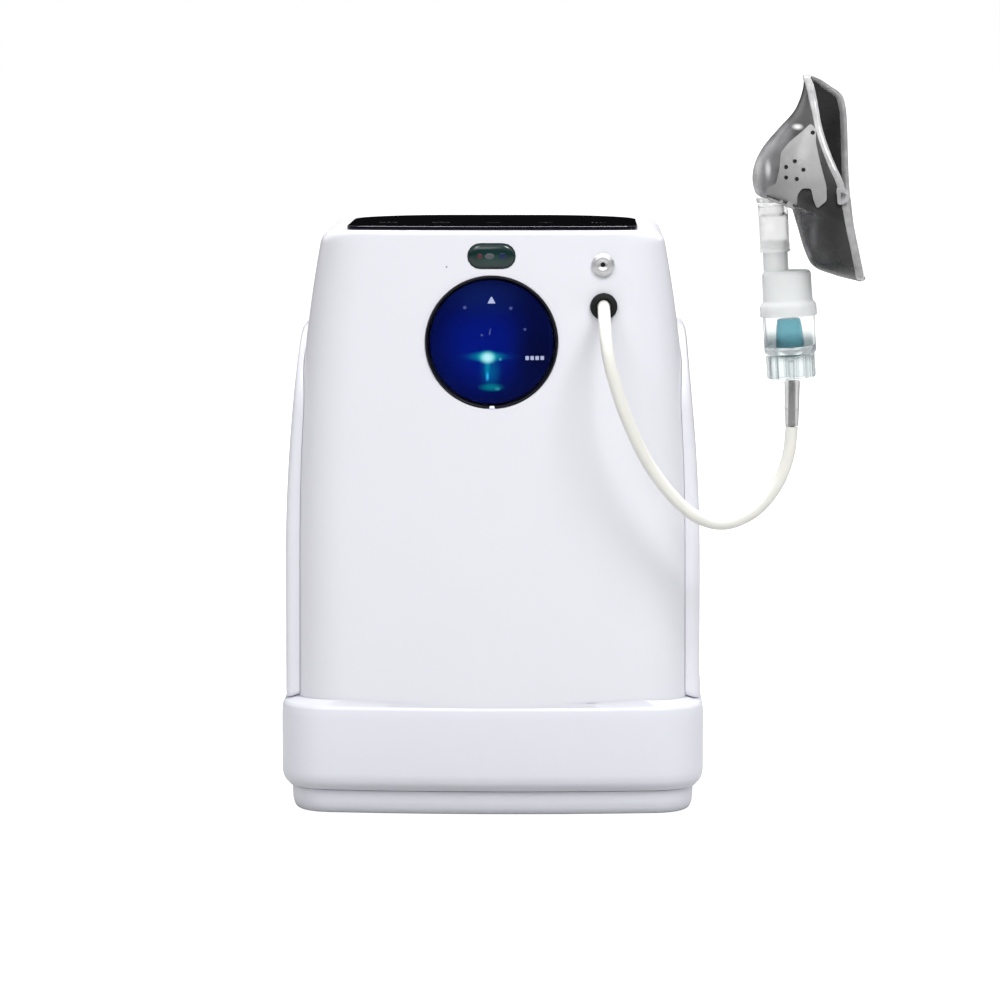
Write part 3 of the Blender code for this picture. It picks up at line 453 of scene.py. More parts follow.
def clear(name, tint, roughness, waves, **inputs):
    """Clear plastic with the slight waviness of a moulding."""
    finish = Finish(name, tint, roughness, Transmission_Weight=1.0, **inputs)
    finish.paint(finish.blend(finish.noise(0.02), [c * 0.94 for c in tint], tint))
    finish.gloss(finish.noise(0.008, 3.0), roughness * 0.7, roughness * 1.4)
    finish.bump(finish.noise(0.009, 1.0), waves)
    return finish.material


def frosted(name, colour, share):
    """Milky plastic that lets a share of the light straight through."""
    return moulded(name, colour, 0.42, grain=0.004, height=0.00006, drift=0.01, Transmission_Weight=share,
                   Subsurface_Weight=0.5, Subsurface_Radius=(0.008, 0.008, 0.008), IOR=1.15)


def jar_plastic():
    """Clear plastic of the nebuliser's jar, with painted shade: greyer round its middle, where its walls are
    doubled round the medicine.
    """
    finish = Finish("jar_plastic", (0.9, 0.93, 0.93), 0.12, Transmission_Weight=1.0, IOR=1.2)
    # Painted shade: a grey band round the jar's middle.
    painted_shade_band = finish.spot(KIT_BASE + KIT_TURN @ Vector((0, 0, 19)), (60, 60, 12))
    finish.paint(finish.blend(painted_shade_band, (0.88, 0.91, 0.91), (0.34, 0.38, 0.39)))
    finish.gloss(finish.noise(0.008, 2.0), 0.08, 0.16)
    finish.bump(finish.noise(0.009, 1.0), 0.0001)
    return finish.material


def circuit_board():
    finish = Finish("circuit_board", (0.02, 0.16, 0.06), 0.4)
    tracks = finish.remap(finish.cells(0.004, "DISTANCE_TO_EDGE"), 1, 0, 0.04, 0.08)
    parts = finish.remap(finish.cells(0.009), 1, 0, 0.18, 0.22)
    board = finish.blend(tracks, (0.012, 0.11, 0.04), (0.05, 0.3, 0.13))
    finish.paint(finish.blend(parts, board, (0.02, 0.02, 0.022)))
    finish.bump(parts, 0.0008)
    return finish.material


def open_foam():
    finish = Finish("open_foam", (0.05, 0.05, 0.055), 0.95)
    pores = finish.cells(0.0016)
    # Painted shade: darker in the hollows of the pores.
    finish.paint(finish.blend(finish.remap(pores, 0, 1, 0.1, 0.5), (0.012, 0.012, 0.014), (0.11, 0.11, 0.12)))
    finish.bump(pores, 0.0006)
    return finish.material


def pleated_paper():
    finish = Finish("pleated_paper", (0.8, 0.8, 0.76), 0.9)
    pleats = finish.bands(0.004)
    # Painted shade: the paper is darker in the folds of the pleats.
    finish.paint(finish.blend(pleats, (0.5, 0.5, 0.47), (0.86, 0.86, 0.82)))
    finish.bump(pleats, 0.001)
    finish.bump(finish.noise(0.0004, 3.0), 0.00005)
    return finish.material


def touch_glass():
    finish = Finish("touch_glass", (0.004, 0.004, 0.008), 0.04, Coat_Weight=1.0, Coat_Roughness=0.02)
    finish.paint(finish.blend(finish.noise(0.05), (0.002, 0.002, 0.006), (0.005, 0.004, 0.012)))
    finish.gloss(finish.noise(0.015, 4.0), 0.03, 0.09)
    return finish.material


def tank_light():
    """The lit water behind the window: deep blue, with a lamp whose light spreads over the surface."""
    finish = Finish("tank_light", (0.001, 0.002, 0.01), 0.6, Emission_Strength=1.0,
                    Specular_IOR_Level=0.0)
    x, z, y = WINDOW.x, WINDOW.z, WINDOW_FACE_Y
    deep = 60.0

    def at(dx, dz):
        return (x + dx, y, z + dz)

    middle_glow = finish.spot(at(-6, -2), (40, deep, 44))
    shade = finish.blend(middle_glow, (0.0010, 0.002, 0.032), (0.0005, 0.008, 0.225))
    for place, (width, height), share, tone in (((26, -6), (20, 30), 0.75, (0.001, 0.001, 0.016)),
                                                ((-4, 26), (34, 16), 0.6, (0.006, 0.017, 0.115))):
        factor = finish.maths("MULTIPLY", finish.spot(at(*place), (width, deep, height)), share)
        shade = finish.blend(factor, shade, tone)
    cloud = finish.maths("MULTIPLY", finish.noise(0.012, 2.0), 0.35)
    shade = finish.blend(cloud, shade, (0.001, 0.003, 0.05))
    glows = [
        ((-2.5, -8.6), (22, 4.0), 0.8, (0.0, 0.07, 0.26)),
        ((-2.5, -8.4), (14, 4.2), 0.95, (0.0, 0.27, 0.33)),
        ((-0.6, -17.0), (8.5, 13.0), 0.8, (0.0, 0.11, 0.28)),
        ((-2.4, -14.5), (2.6, 10.0), 0.85, (0.0, 0.26, 0.40)),
        ((-2.4, -20.0), (1.5, 4.0), 1.0, (0.03, 0.48, 0.85)),
        ((-0.2, -26.3), (10.0, 3.4), 0.95, (0.0, 0.20, 0.24)),
        ((3.4, -27.2), (2.6, 1.6), 0.9, (0.03, 0.33, 0.36)),
        ((-2.4, -8.9), (7.4, 5.2), 1.0, (0.04, 0.80, 0.70)),
        ((-2.3, -9.1), (5.6, 4.6), 1.0, (0.62, 1.0, 0.98)),
        ((5.0, -10.0), (1.5, 1.4), 0.7, (0.1, 0.55, 0.55)),
    ]
    for (dx, dz), (width, height), share, tone in glows:
        factor = finish.maths("MULTIPLY", finish.spot(at(dx, dz), (width, deep, height)), share)
        shade = finish.blend(factor, shade, tone)
    finish.paint(shade, "Emission Color")
    return finish.material


def infrared_lens():
    finish = Finish("infrared_lens", (0.01, 0.04, 0.035), 0.1, Coat_Weight=0.25, Coat_Roughness=0.05)
    # Painted light and shade: the lens is lighter green low down and in the middle, darker at the top and
    # round its edge.
    fade = finish.remap(finish.along("Z"), 1, 0, (LENS.z - 7) * MM, (LENS.z + 6) * MM)
    shade = finish.blend(fade, (0.011, 0.026, 0.030), (0.012, 0.062, 0.050))
    dark = finish.spot((LENS.x, WINDOW_FACE_Y, LENS.z), (13, 60, 7.4))
    finish.paint(finish.blend(dark, (0.008, 0.027, 0.025), shade))
    finish.gloss(finish.noise(0.006), 0.05, 0.1)
    return finish.material


def vinyl_painted_light_and_shade(name, inner):
    """Soft clear vinyl with its light and shade painted on: a dark ground, lighter at the nose, near black
    below, softly streaked, with painted highlights; its inside painted near-black shade.
    """
    finish = Finish(name, (0.06, 0.06, 0.06), 0.25, Specular_IOR_Level=0.35)
    if inner:
        # Inside: near-black painted shade.
        tone = finish.blend(finish.noise(0.025), (0.006, 0.006, 0.007), (0.030, 0.030, 0.031))
    else:
        # Outside: painted shade, lighter towards the nose, then the listed painted highlights and painted
        # shade.
        waver = finish.remap(finish.noise(0.012, 1.0), -0.004, 0.004)
        across = finish.maths("ADD", finish.along("X"), waver)
        front = finish.remap(across, 1, 0, 0.152, 0.178, smooth=True)
        tone = finish.blend(front, (0.045, 0.045, 0.046), (0.24, 0.24, 0.25))
        for (x, z), (width, height), share, shade in VINYL_HIGHLIGHTS_AND_SHADE:
            painted_patch = finish.spot((x, MASK_MIDDLE_Y, z), (width, 90, height))
            tone = finish.blend(finish.maths("MULTIPLY", painted_patch, share), tone, (shade, shade, shade))
    finish.paint(tone)
    finish.gloss(finish.noise(0.01, 3.0), 0.18, 0.34)
    finish.bump(finish.noise(0.016, 1.0), 0.0003)
    return finish.material


# Painted highlights and painted shade on the mask: centre and size in x and z, share, and grey level.
VINYL_HIGHLIGHTS_AND_SHADE = [
    ((178.0, 414.0), (14.0, 18.0), 0.9, 0.075), ((165.0, 380.0), (9.0, 26.0), 0.5, 0.10),
    ((151.5, 378.0), (5.0, 28.0), 0.9, 0.55), ((158.0, 379.7), (2.6, 8.0), 0.9, 0.75),
    ((174.7, 404.0), (4.5, 2.6), 0.9, 0.80), ((194.0, 352.0), (14.0, 34.0), 1.0, 0.012),
    ((180.5, 362.0), (9.0, 14.0), 0.9, 0.022), ((184.0, 344.0), (3.4, 18.0), 0.9, 0.13),
    ((197.0, 324.0), (20.0, 10.0), 0.9, 0.015), ((189.5, 390.0), (4.4, 24.0), 0.9, 0.014),
]

FINISHES = {
    "shell": moulded("shell_white", (0.82, 0.82, 0.88), 0.32, grain=0.03, height=0.00004, drift=0.008,
                     Coat_Weight=0.25, Coat_Roughness=0.12),
    "band": moulded("band_white", (0.80, 0.81, 0.875), 0.34, grain=0.03, height=0.00004, drift=0.008,
                    Coat_Weight=0.2, Coat_Roughness=0.15),
    "glass": touch_glass(),
    "icon": moulded("icon_grey", (0.012, 0.013, 0.016), 0.35),
    "black": moulded("satin_black", (0.018, 0.018, 0.022), 0.38, grain=0.0008, height=0.00004),
    "bezel": moulded("bezel_black", (0.006, 0.006, 0.011), 0.3, Specular_IOR_Level=0.15),
    "window": clear("window_blue", (0.85, 0.90, 1.0), 0.02, 0.0, IOR=1.05),
    "light": tank_light(),
    # White print with a faint painted glow.
    "mark": moulded("printed_white_painted_glow", (0.75, 0.78, 0.92), 0.45, Emission_Color=(0.55, 0.6, 0.9, 1),
                    Emission_Strength=0.35),
    "tick": moulded("tick_print", (0.42, 0.47, 0.70), 0.5),
    "faint": moulded("faint_print", (0.05, 0.075, 0.24), 0.5),
    "lens": infrared_lens(),
    "steel": brushed("turned_steel", (0.86, 0.86, 0.87), 0.42, (1, 1, 8)),
    "aluminium": brushed("cast_aluminium", (0.60, 0.61, 0.63), 0.42, (1, 6, 1)),
    "brass": brushed("brass", (0.75, 0.60, 0.32), 0.3, (1, 6, 1)),
    "rubber": moulded("soft_rubber", (0.009, 0.010, 0.010), 0.62, height=0.00006, Specular_IOR_Level=0.2),
    "hose": moulded("hose_vinyl", (0.84, 0.84, 0.79), 0.30, grain=0.003, height=0.00004, drift=0.02,
                    Subsurface_Weight=0.25, Subsurface_Radius=(0.004, 0.004, 0.003), Coat_Weight=0.3),
    "sleeve": moulded("sleeve_vinyl", (0.60, 0.60, 0.60), 0.22, grain=0.003, height=0.00005, drift=0.1,
                      Transmission_Weight=0.75, IOR=1.15),
    # Painted shade for the sleeve's dark bore.
    "core": moulded("sleeve_bore_shade", (0.10, 0.105, 0.105), 0.35, drift=0.3),
    "clear": clear("clear_polystyrene", (0.86, 0.89, 0.89), 0.12, 0.0001, IOR=1.2),
    "frosted": frosted("frosted_cap", (0.90, 0.91, 0.91), 0.5),
    "collar": frosted("frosted_collar", (0.95, 0.95, 0.95), 0.85),
    "jar": jar_plastic(),
    "baffle": moulded("baffle_blue", (0.15, 0.42, 0.50), 0.25, drift=0.2, Coat_Weight=0.3),
    # The mask's vinyl, with its light and shade painted on.
    "vinyl": vinyl_painted_light_and_shade("vinyl_painted_light_and_shade", False),
    "vinyl_inner": vinyl_painted_light_and_shade("smoky_vinyl_inner", True),
    # Cheek panels: pale grey as a painted reflection on their flat faces.
    "cheek": moulded("cheek_painted_reflection", (0.31, 0.31, 0.31), 0.34, grain=0.006, height=0.0003, drift=0.16,
                     cloud=0.01, Coat_Weight=0.2),
    # Rolled rim and strap lugs: pale, streaked grey as a painted highlight along the edge.
    "rim": moulded("rim_painted_highlight", (0.55, 0.55, 0.56), 0.16, grain=0.006, height=0.0005, drift=0.5,
                   cloud=0.007, Transmission_Weight=0.3, Coat_Weight=0.6),
    "grey": moulded("mid_grey_plastic", (0.30, 0.31, 0.33), 0.42),
    "board": circuit_board(),
    "foam": open_foam(),
    "paper": pleated_paper(),
}


# ---------------------------------------------------------------- camera and hose

def make_camera():
    data = bpy.data.cameras.new("camera")
    data.lens, data.sensor_width = 161.8, 36.0
    camera = bpy.data.objects.new("camera", data)
    bpy.context.scene.collection.objects.link(camera)
    camera.location = (0.05, -2.7, 0.4645)
    aim = Vector((0.0049, -0.1, 0.1866)) - camera.location
    camera.rotation_euler = aim.to_track_quat("-Z", "Y").to_euler()
    bpy.context.scene.camera = camera


def make_hose():
    """The hose as one smooth curve."""
    curve = bpy.data.curves.new("hose_line", "CURVE")
    curve.dimensions = "3D"
    curve.bevel_depth = HOSE_DIAMETER / 2
    curve.bevel_resolution = 10
    curve.use_fill_caps = True
    spline = curve.splines.new("POLY")
    points = smooth_route(HOSE_ROUTE, 121)
    spline.points.add(len(points) - 1)
    for target, point in zip(spline.points, points):
        target.co = (*point, 1.0)
    spline.use_smooth = True
    curve.materials.append(FINISHES["hose"])
    hose = bpy.data.objects.new("hose_line", curve)
    bpy.context.scene.collection.objects.link(hose)
    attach(hose, "cabinet")
    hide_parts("hose")
    return hose


# ---------------------------------------------------------------- cabinet

def plan_outline(half_width, front, back, corners, z, corner_steps=14, front_steps=14):
    """The cabinet seen from above: a bowed front, round corners and a flat back."""
    radius, back_radius = corners
    centre_x = half_width - radius
    flat = centre_x + radius * math.sin(BOW_ANGLE)
    bow = math.tan(BOW_ANGLE) / (2 * flat)
    centre_y = front + bow * flat ** 2 + radius * math.cos(BOW_ANGLE)
    half = [(flat * step / front_steps, front + bow * (flat * step / front_steps) ** 2)
            for step in range(front_steps)]
    for step in range(corner_steps + 1):
        angle = BOW_ANGLE - math.pi / 2 + (math.pi / 2 - BOW_ANGLE) * step / corner_steps
        half.append((centre_x + radius * math.cos(angle), centre_y + radius * math.sin(angle)))
    for step in range(corner_steps + 1):
        angle = math.pi / 2 * step / corner_steps
        half.append((half_width - back_radius + back_radius * math.cos(angle),
                     back - back_radius + back_radius * math.sin(angle)))
    half.append((0.0, back))
    left = [(-x, y) for x, y in half[-2:0:-1]]
    return [(x, y, z) for x, y in half + left]


def case_half_width(z):
    rise = max(0.0, z - TAPER_START) / 190
    return CASE_HALF_WIDTH - CASE_TAPER * rise ** 2.4


def case_front(z):
    return CASE_FRONT + CASE_LEAN * (z - CASE_BOTTOM) / (CASE_TOP - CASE_BOTTOM)


def front_y(x, z):
    """Depth of the bowed front face."""
    flat = case_half_width(z) - CASE_CORNERS[0] * (1 - math.sin(BOW_ANGLE))
    return case_front(z) + math.tan(BOW_ANGLE) / (2 * flat) * x ** 2


def case_ring(z, inset=0.0, front_inset=None):
    corners = [radius - inset for radius in CASE_CORNERS]
    front = case_front(z) + (inset if front_inset is None else front_inset)
    return plan_outline(case_half_width(z) - inset, front, CASE_BACK - inset, corners, z)


def case_side_x(y, z):
    """How far out the cabinet's side is at a depth y and height z."""
    half_width = case_half_width(z)
    front_radius, back_radius = CASE_CORNERS
    flat = half_width - front_radius * (1 - math.sin(BOW_ANGLE))
    front_centre = case_front(z) + math.tan(BOW_ANGLE) / 2 * flat + front_radius * math.cos(BOW_ANGLE)
    back_centre = CASE_BACK - back_radius
    if y < front_centre:
        return half_width - front_radius + math.sqrt(front_radius ** 2 - (front_centre - y) ** 2)
    if y > back_centre:
        return half_width - back_radius + math.sqrt(back_radius ** 2 - (y - back_centre) ** 2)
    return half_width


def case_rings(inset, top, edge_radius, rows, edge_steps):
    """Rings up the cabinet wall and over the top edge, which is rounder at the sides than in front."""
    shoulder, front_radius = top - edge_radius, FRONT_EDGE_SHARE * edge_radius
    rings = [case_ring(CASE_BOTTOM + (shoulder - CASE_BOTTOM) * row / rows, inset) for row in range(rows + 1)]
    for step in range(1, edge_steps + 1):
        angle = math.pi / 2 * step / edge_steps
        z = shoulder + edge_radius * math.sin(angle)
        above = max(0.0, z - top + front_radius)
        front_inset = front_radius - math.sqrt(front_radius ** 2 - above ** 2)
        rings.append(case_ring(z, inset + edge_radius * (1 - math.cos(angle)), inset + front_inset))
    return rings


def case_half(front):
    """One of the two shells: a bell with walls and a roof, open below, cut along the parting line."""
    outer = case_rings(0.0, CASE_TOP, EDGE_RADIUS, 36, 10)
    inner = case_rings(WALL, CASE_TOP - WALL, EDGE_RADIUS - WALL, 12, 4)
    bell = lofted("bell", outer[::-1] + inner)
    side = 1 if front else -1
    return combined(bell, [block((300, 300, 400), (0, side * (150 - GAP / 2), 200))])


def back_window(node, wider=0.0, size=None):
    """A square cutter through the back wall round a node, wider than it or of a given size."""
    low, high = box_mm(node)
    width, height = size or (high.x - low.x + wider, high.z - low.z + wider)
    return block((width, 20, height), (middle(node).x, CASE_BACK, middle(node).z))


def back_hole(node, radius):
    """A round cutter through the back wall at a node."""
    return front_rod(radius, middle(node).x, middle(node).z, 90, 110)


def make_shells():
    """The front and rear shells, each with the holes that its fittings need."""
    front = combined(case_half(True), [
        block(SIDE_WINDOW, (0, 0, SIDE_WINDOW_Z)),
        front_rod(WINDOW_RADIUS + 0.4, WINDOW.x, WINDOW.z, -120, -80),
        slot_cut(2 * (LENS_HALF.x + GAP), 2 * (LENS_HALF.z + GAP), -120, -80, (LENS.x, LENS.z), "X"),
        front_rod(4.9, OUTLET.x, OUTLET.z, -120, -80),
        front_rod(6.6, GROMMET.x, GROMMET.z, -120, -80),
        front_rod(0.5, PINHOLE.x, PINHOLE.z, -120, -80),
    ])
    piece("front_casing", front, FINISHES["shell"], "cabinet", "front_shell", slot="white_plastic",
          weighted=True)

    cuts = [block(SIDE_WINDOW, (0, 0, SIDE_WINDOW_Z)),
            back_window("filter_door", 2 * GAP), back_window("grip_pocket", -5.4),
            back_window("power_inlet", size=(27.6, 20.6)), back_window("switch_bezel", size=(13.2, 19.2)),
            back_hole("breaker_button", 4.5)]
    cuts += [back_hole(f"case_screw_{i}", 2.3) for i in range(1, 5)]
    fan = middle("fan_frame")
    cuts += [slot_cut(50, 3.5, 90, 112, (fan.x, fan.z - 24 + 8 * row), "X") for row in range(7)]
    rear = combined(case_half(False), cuts)
    piece("rear_casing", rear, FINISHES["shell"], "cabinet", "rear_shell", slot="white_plastic",
          weighted=True)


def side_outline(inset, steps=12, spans=10):
    """Outline of a side cover in (y, z): square below, arched above."""
    depth, bottom, top = COVER_DEPTH - inset, COVER_BOTTOM + 0.35 * inset, COVER_TOP - inset
    radius, foot = COVER_ARCH - inset, 3.0
    shoulder = top - radius
    points = []
    for step in range(7):
        angle = math.radians(180 + 90 * step / 6)
        points.append((-depth + foot + foot * math.cos(angle), bottom + foot + foot * math.sin(angle)))
    points += [((depth - foot) * (2 * step / spans - 1), bottom) for step in range(1, spans)]
    for step in range(7):
        angle = math.radians(270 + 90 * step / 6)
        points.append((depth - foot + foot * math.cos(angle), bottom + foot + foot * math.sin(angle)))
    points += [(depth, bottom + foot + (shoulder - bottom - foot) * step / spans) for step in range(1, spans)]
    arch = [(depth - radius + radius * math.cos(math.pi / 2 * step / steps),
             shoulder + radius * math.sin(math.pi / 2 * step / steps)) for step in range(steps + 1)]
    points += arch + [(0.0, top)] + [(-y, z) for y, z in arch[::-1]]
    points += [(-depth, shoulder - (shoulder - bottom - foot) * step / spans) for step in range(1, spans)]
    return points


def cover_x(y, z):
    """The outer surface of a side cover, a soft dome."""
    rise = max(0.0, z - 140) / 140
    return COVER_HALF_WIDTH - 9.5 * rise ** 2 - 2.5 * (y / COVER_DEPTH) ** 2


def make_side_cover(label, side):
    """A domed cover with a raised rim round its louvres, and the angled slats behind them."""
    def at(y, z, share):
        low = case_side_x(y, z) + GAP
        x = low + (cover_x(y, z) - low) * share
        ledge = BAND_TOP + LEDGE_RISE * max(0.0, BAND_HIGH.x - 1.6 - x) + GAP
        near_foot = max(0.0, 1 - (z - COVER_BOTTOM) / 12)
        return (side * x, y, z - (COVER_BOTTOM - ledge) * near_foot)

    def ring(inset, share):
        return [at(y, z, share) for y, z in side_outline(inset)]

    def field(scale, share):
        centre = (COVER_BOTTOM + COVER_TOP) / 2
        return [at(y * scale, centre + (z - centre) * scale, share) for y, z in side_outline(15.0)]

    edge = [(0, 0), (0.15, 0.3), (0.6, 0.58), (1.5, 0.8), (2.8, 0.94), (4.5, 1.0), (8.0, 1.01), (11.2, 1.0),
            (11.8, 0.98), (12.2, 0.92), (12.5, 0.87), (13.1, 0.84)]
    outer = [ring(inset, share) for inset, share in edge]
    outer += [field(scale, 0.84) for scale in (1.0, 0.85, 0.7, 0.55, 0.4, 0.25, 0.1)]
    inner = [ring(2.6, 0), ring(4.5, 0.6)] + [field(scale, 0.6) for scale in (0.9, 0.6, 0.3, 0.1)]
    mesh = lofted(f"side_cover_{label}", outer[::-1] + inner)
    low, high = sorted((side * 90, side * 150))
    vents = [slot_cut(VENT_LENGTH, VENT_HEIGHT, low, high, (0, z), "Y") for z in VENT_Z]
    mesh = combined(mesh, vents)
    piece(f"side_panel_{label}", mesh, FINISHES["shell"], "cabinet", f"side_cover_{label}",
          slot="white_plastic", sharp=42, weighted=True)

    slats = []
    for z in VENT_Z:
        near, far = COVER_HALF_WIDTH - 4.6 - 9.5 * (max(0, z - 140) / 140) ** 2, case_half_width(z) - 1.0
        section = [(near, z - 5.0), (near, z - 3.8), (far, z + 3.4), (far, z + 2.2)]
        half = VENT_LENGTH / 2 + 2
        rings = [[(side * x, y, height) for x, height in section] for y in (-half, half)]
        slats.append(lofted("slat", rings))
    piece(f"louvre_slats_{label}", joined("slats", slats), FINISHES["band"], "cabinet", slot="white_plastic")


def band_ring(z, inset):
    corners = [radius - inset for radius in BAND_CORNERS]
    half_width, front, back = BAND_HIGH.x, BAND_LOW.y, BAND_HIGH.y
    return plan_outline(half_width - inset, front + inset, back - inset, corners, z)


def make_base():
    """The skirt band round the foot of the shells and the tray below it."""
    bottom = BAND_LOW.z
    outside = [(bottom, 4.5), (18.5, 1.2), (23, 0), (41, 0), (59, 0), (63.2, 0.5), (BAND_TOP, 1.6)]
    outer = [band_ring(z, inset) for z, inset in rounded(outside, 2.5, 5)]
    ledge, foot = [], []
    for (x, y, _), edge in zip(case_ring(CASE_BOTTOM, -0.4), outer[-1]):
        ledge.append((x, y, BAND_TOP + LEDGE_RISE * math.dist((x, y), edge[:2])))
        foot.append((x, y, CASE_BOTTOM - 1))
    inner = [ledge, foot, band_ring(56, 3), band_ring(26, 3), band_ring(bottom, 7.5)]
    piece("skirt_band", lofted_tube("skirt_band", outer + inner), FINISHES["band"], "cabinet", "lower_band",
          slot="white_plastic")

    tray_low, tray_high = box_mm("base_tray")
    outside = [(tray_low.z, 10), (1.4, 8.3), (3.5, 7.1), (7, BASE_INSET + 0.3), (tray_high.z, BASE_INSET)]
    inside = [(tray_high.z, 8.6), (7, 9.5), (4.5, 12.5)]
    rings = [band_ring(z, inset) for z, inset in rounded(outside, 2.0, 4) + inside]
    foot_low, foot_high = box_mm("foot_1")
    radius, height = (foot_high.x - foot_low.x) / 2 + GAP, foot_high.z + GAP
    places = [(middle(f"foot_{i}").x, middle(f"foot_{i}").y, 0) for i in range(1, 5)]
    pockets = [turned("pocket", rod(radius, -5, height), place, segments=48) for place in places]
    mesh = combined(lofted("bottom_tray", rings), pockets)
    piece("bottom_tray", mesh, FINISHES["band"], "cabinet", "base_tray", slot="white_plastic")


# ---------------------------------------------------------------- roof panel

def slab(outline, low, high):
    """A flat printed mark or plate: an outline in (x, y) between two heights."""
    return lofted("slab", [[(x, y, z) for x, y in outline] for z in (low, high)])


def circle(radius, centre=(0, 0), start=0.0, end=360.0, steps=40):
    return [(centre[0] + radius * math.cos(math.radians(start + (end - start) * step / steps)),
             centre[1] + radius * math.sin(math.radians(start + (end - start) * step / steps)))
            for step in range(steps if end - start >= 360 else steps + 1)]


def arc_mark(radius, width, centre, start=0.0, end=360.0):
    """A ring, or part of one, as an outline or as two rings."""
    if end - start >= 360:
        rings = [[(x, y, z) for x, y in circle(r, centre)]
                 for r, z in ((radius, 0), (radius, 0.06), (radius - width, 0.06), (radius - width, 0))]
        return lofted_tube("ring", rings)
    outline = circle(radius, centre, start, end) + circle(radius - width, centre, start, end)[::-1]
    return slab(outline, 0, 0.06)


def bar_mark(width, height, centre, degrees=0.0):
    turn = Matrix.Rotation(math.radians(degrees), 2)
    corners = [turn @ Vector((i * width / 2, j * height / 2))
               for i, j in ((-1, -1), (1, -1), (1, 1), (-1, 1))]
    return slab([(centre[0] + corner.x, centre[1] + corner.y) for corner in corners], 0, 0.06)


def make_top_panel():
    """The black glass on the roof, with plain touch marks printed on it."""
    low, high = box_mm("touch_panel")

    def ring(z, inset):
        corners = (8.0 - inset, 58.0 - inset)
        return plan_outline(high.x - inset, low.y + inset, high.y - inset, corners, z, 20, 8)

    section = rounded([(low.z, 0.0), (high.z, 0.0), (high.z, 3.0)], 0.35, 5)
    rings = [ring(z, inset) for z, inset in section]
    piece("roof_glass", lofted("roof_glass", rings), FINISHES["glass"], "cabinet", "touch_panel",
          slot="black_glass")

    row = -42.0
    marks = [arc_mark(5.2, 0.9, (-62, row), 120, 420), bar_mark(0.9, 5.0, (-62, row + 3.6)),
             arc_mark(5.2, 0.8, (-31, row)), bar_mark(0.8, 3.4, (-31, row + 1.4)),
             bar_mark(2.8, 0.8, (-29.9, row)),
             bar_mark(8.0, 1.0, (0, row)), bar_mark(8.0, 1.0, (31, row)), bar_mark(1.0, 8.0, (31, row))]
    marks += [bar_mark(1.0, 9.0 - 2.4 * step, (58.5 + 2.4 * step, row)) for step in range(4)]
    mesh = moved(joined("marks", marks), (0, 0, high.z + 0.01))
    piece("touch_marks", mesh, FINISHES["icon"], "cabinet", slot="black_glass")


# ---------------------------------------------------------------- front fittings

GLASS_RADIUS = COVER_RADIUS + 1.5
WINDOW_DOME = [(0, 2.6), (14, 2.4), (25, 1.9), (32, 1.2), (GLASS_RADIUS - 0.5, 0.4)]


def dome_height(x, y):
    """How far the window stands forward at a point of its own plane."""
    radius = math.hypot(x, y)
    for (inner, high), (outer, low) in zip(WINDOW_DOME, WINDOW_DOME[1:]):
        if radius <= outer:
            return high + (low - high) * (radius - inner) / (outer - inner)
    return WINDOW_DOME[-1][1]


def window_mark(outline):
    """A thin print on the dome of the window, from an outline in the window's plane."""
    rings = [[(x, y, dome_height(x, y) + lift) for x, y in outline] for lift in (0.02, 0.09)]
    return moved(lofted("mark", rings), (WINDOW.x, WINDOW_FACE_Y, WINDOW.z), FACING_FRONT)


def make_window():
    """The round water window: a black ring, a clear blue cover with plain marks, and the lit water."""
    centre = (WINDOW.x, WINDOW_FACE_Y, WINDOW.z)
    inside = GLASS_RADIUS + GAP
    ring = [(inside, -9.0), (inside, 1.4), (inside + 0.4, 2.2), (WINDOW_RADIUS - 0.5, 2.4),
            (WINDOW_RADIUS, 1.6), (WINDOW_RADIUS, -9.0)]
    mesh = turned("window_bezel", rounded(ring, 0.5, 4, loop=True), centre, FACING_FRONT, 128, loop=True)
    piece("window_bezel", mesh, FINISHES["bezel"], "cabinet", "window_ring", slot="black_plastic")

    cover = WINDOW_DOME + [(GLASS_RADIUS, -0.6), (GLASS_RADIUS, -8.9), (GLASS_RADIUS - 0.6, -8.9),
                           (GLASS_RADIUS - 0.6, -1.2), (20, -0.8), (0, -0.6)]
    mesh = turned("window_glass", rounded(cover, 1.2, 4), centre, FACING_FRONT, 128)
    piece("window_glass", mesh, FINISHES["window"], "window_lid", "window_cover", slot="blue_window")

    edge = GLASS_RADIUS - 0.9
    light = [(0, -1.5), (edge, -1.5), (edge, -1.9), (0, -1.9)]
    mesh = turned("lit_water", rounded(light, 0.1, 3), centre, FACING_FRONT, 128)
    piece("lit_water", mesh, FINISHES["light"], "water_cup", slot="blue_window")

    marks = [window_mark([(-2.3, 22.6), (2.3, 22.6), (0.3, 26.4), (-0.3, 26.4)])]
    for i in range(4):
        left, right = 19.7 + 2.9 * i, 21.7 + 2.9 * i
        marks.append(window_mark([(left, -10.2), (right, -10.2), (right, -7.9), (left, -7.9)]))
    piece("window_marks", joined("marks", marks), FINISHES["tick"], "window_lid", slot="blue_window")
    outline = ((-1.4, -38.5), (2.0, -38.5), (1.5, -36.9), (-0.9, -36.9))
    notch = lofted("notch", [[(x, z, lift) for x, z in outline] for lift in (2.0, 2.48)])
    mesh = moved(notch, centre, FACING_FRONT)
    piece("bezel_mark", mesh, FINISHES["mark"], "cabinet", slot="black_plastic")
    dots = ((1.0, (-15.5, 20.2)), (1.0, (11.2, 19.8)), (0.8, (19.4, 7.6)), (0.7, (-5.6, 4.2)))
    faint = [window_mark(circle(radius, place, steps=16)) for radius, place in dots]
    faint.append(window_mark([(-1.6, 4.4), (-0.8, 4.4), (-0.2, 8.2), (-0.8, 8.2)]))
    piece("window_dots", joined("dots", faint), FINISHES["faint"], "window_lid", slot="blue_window")


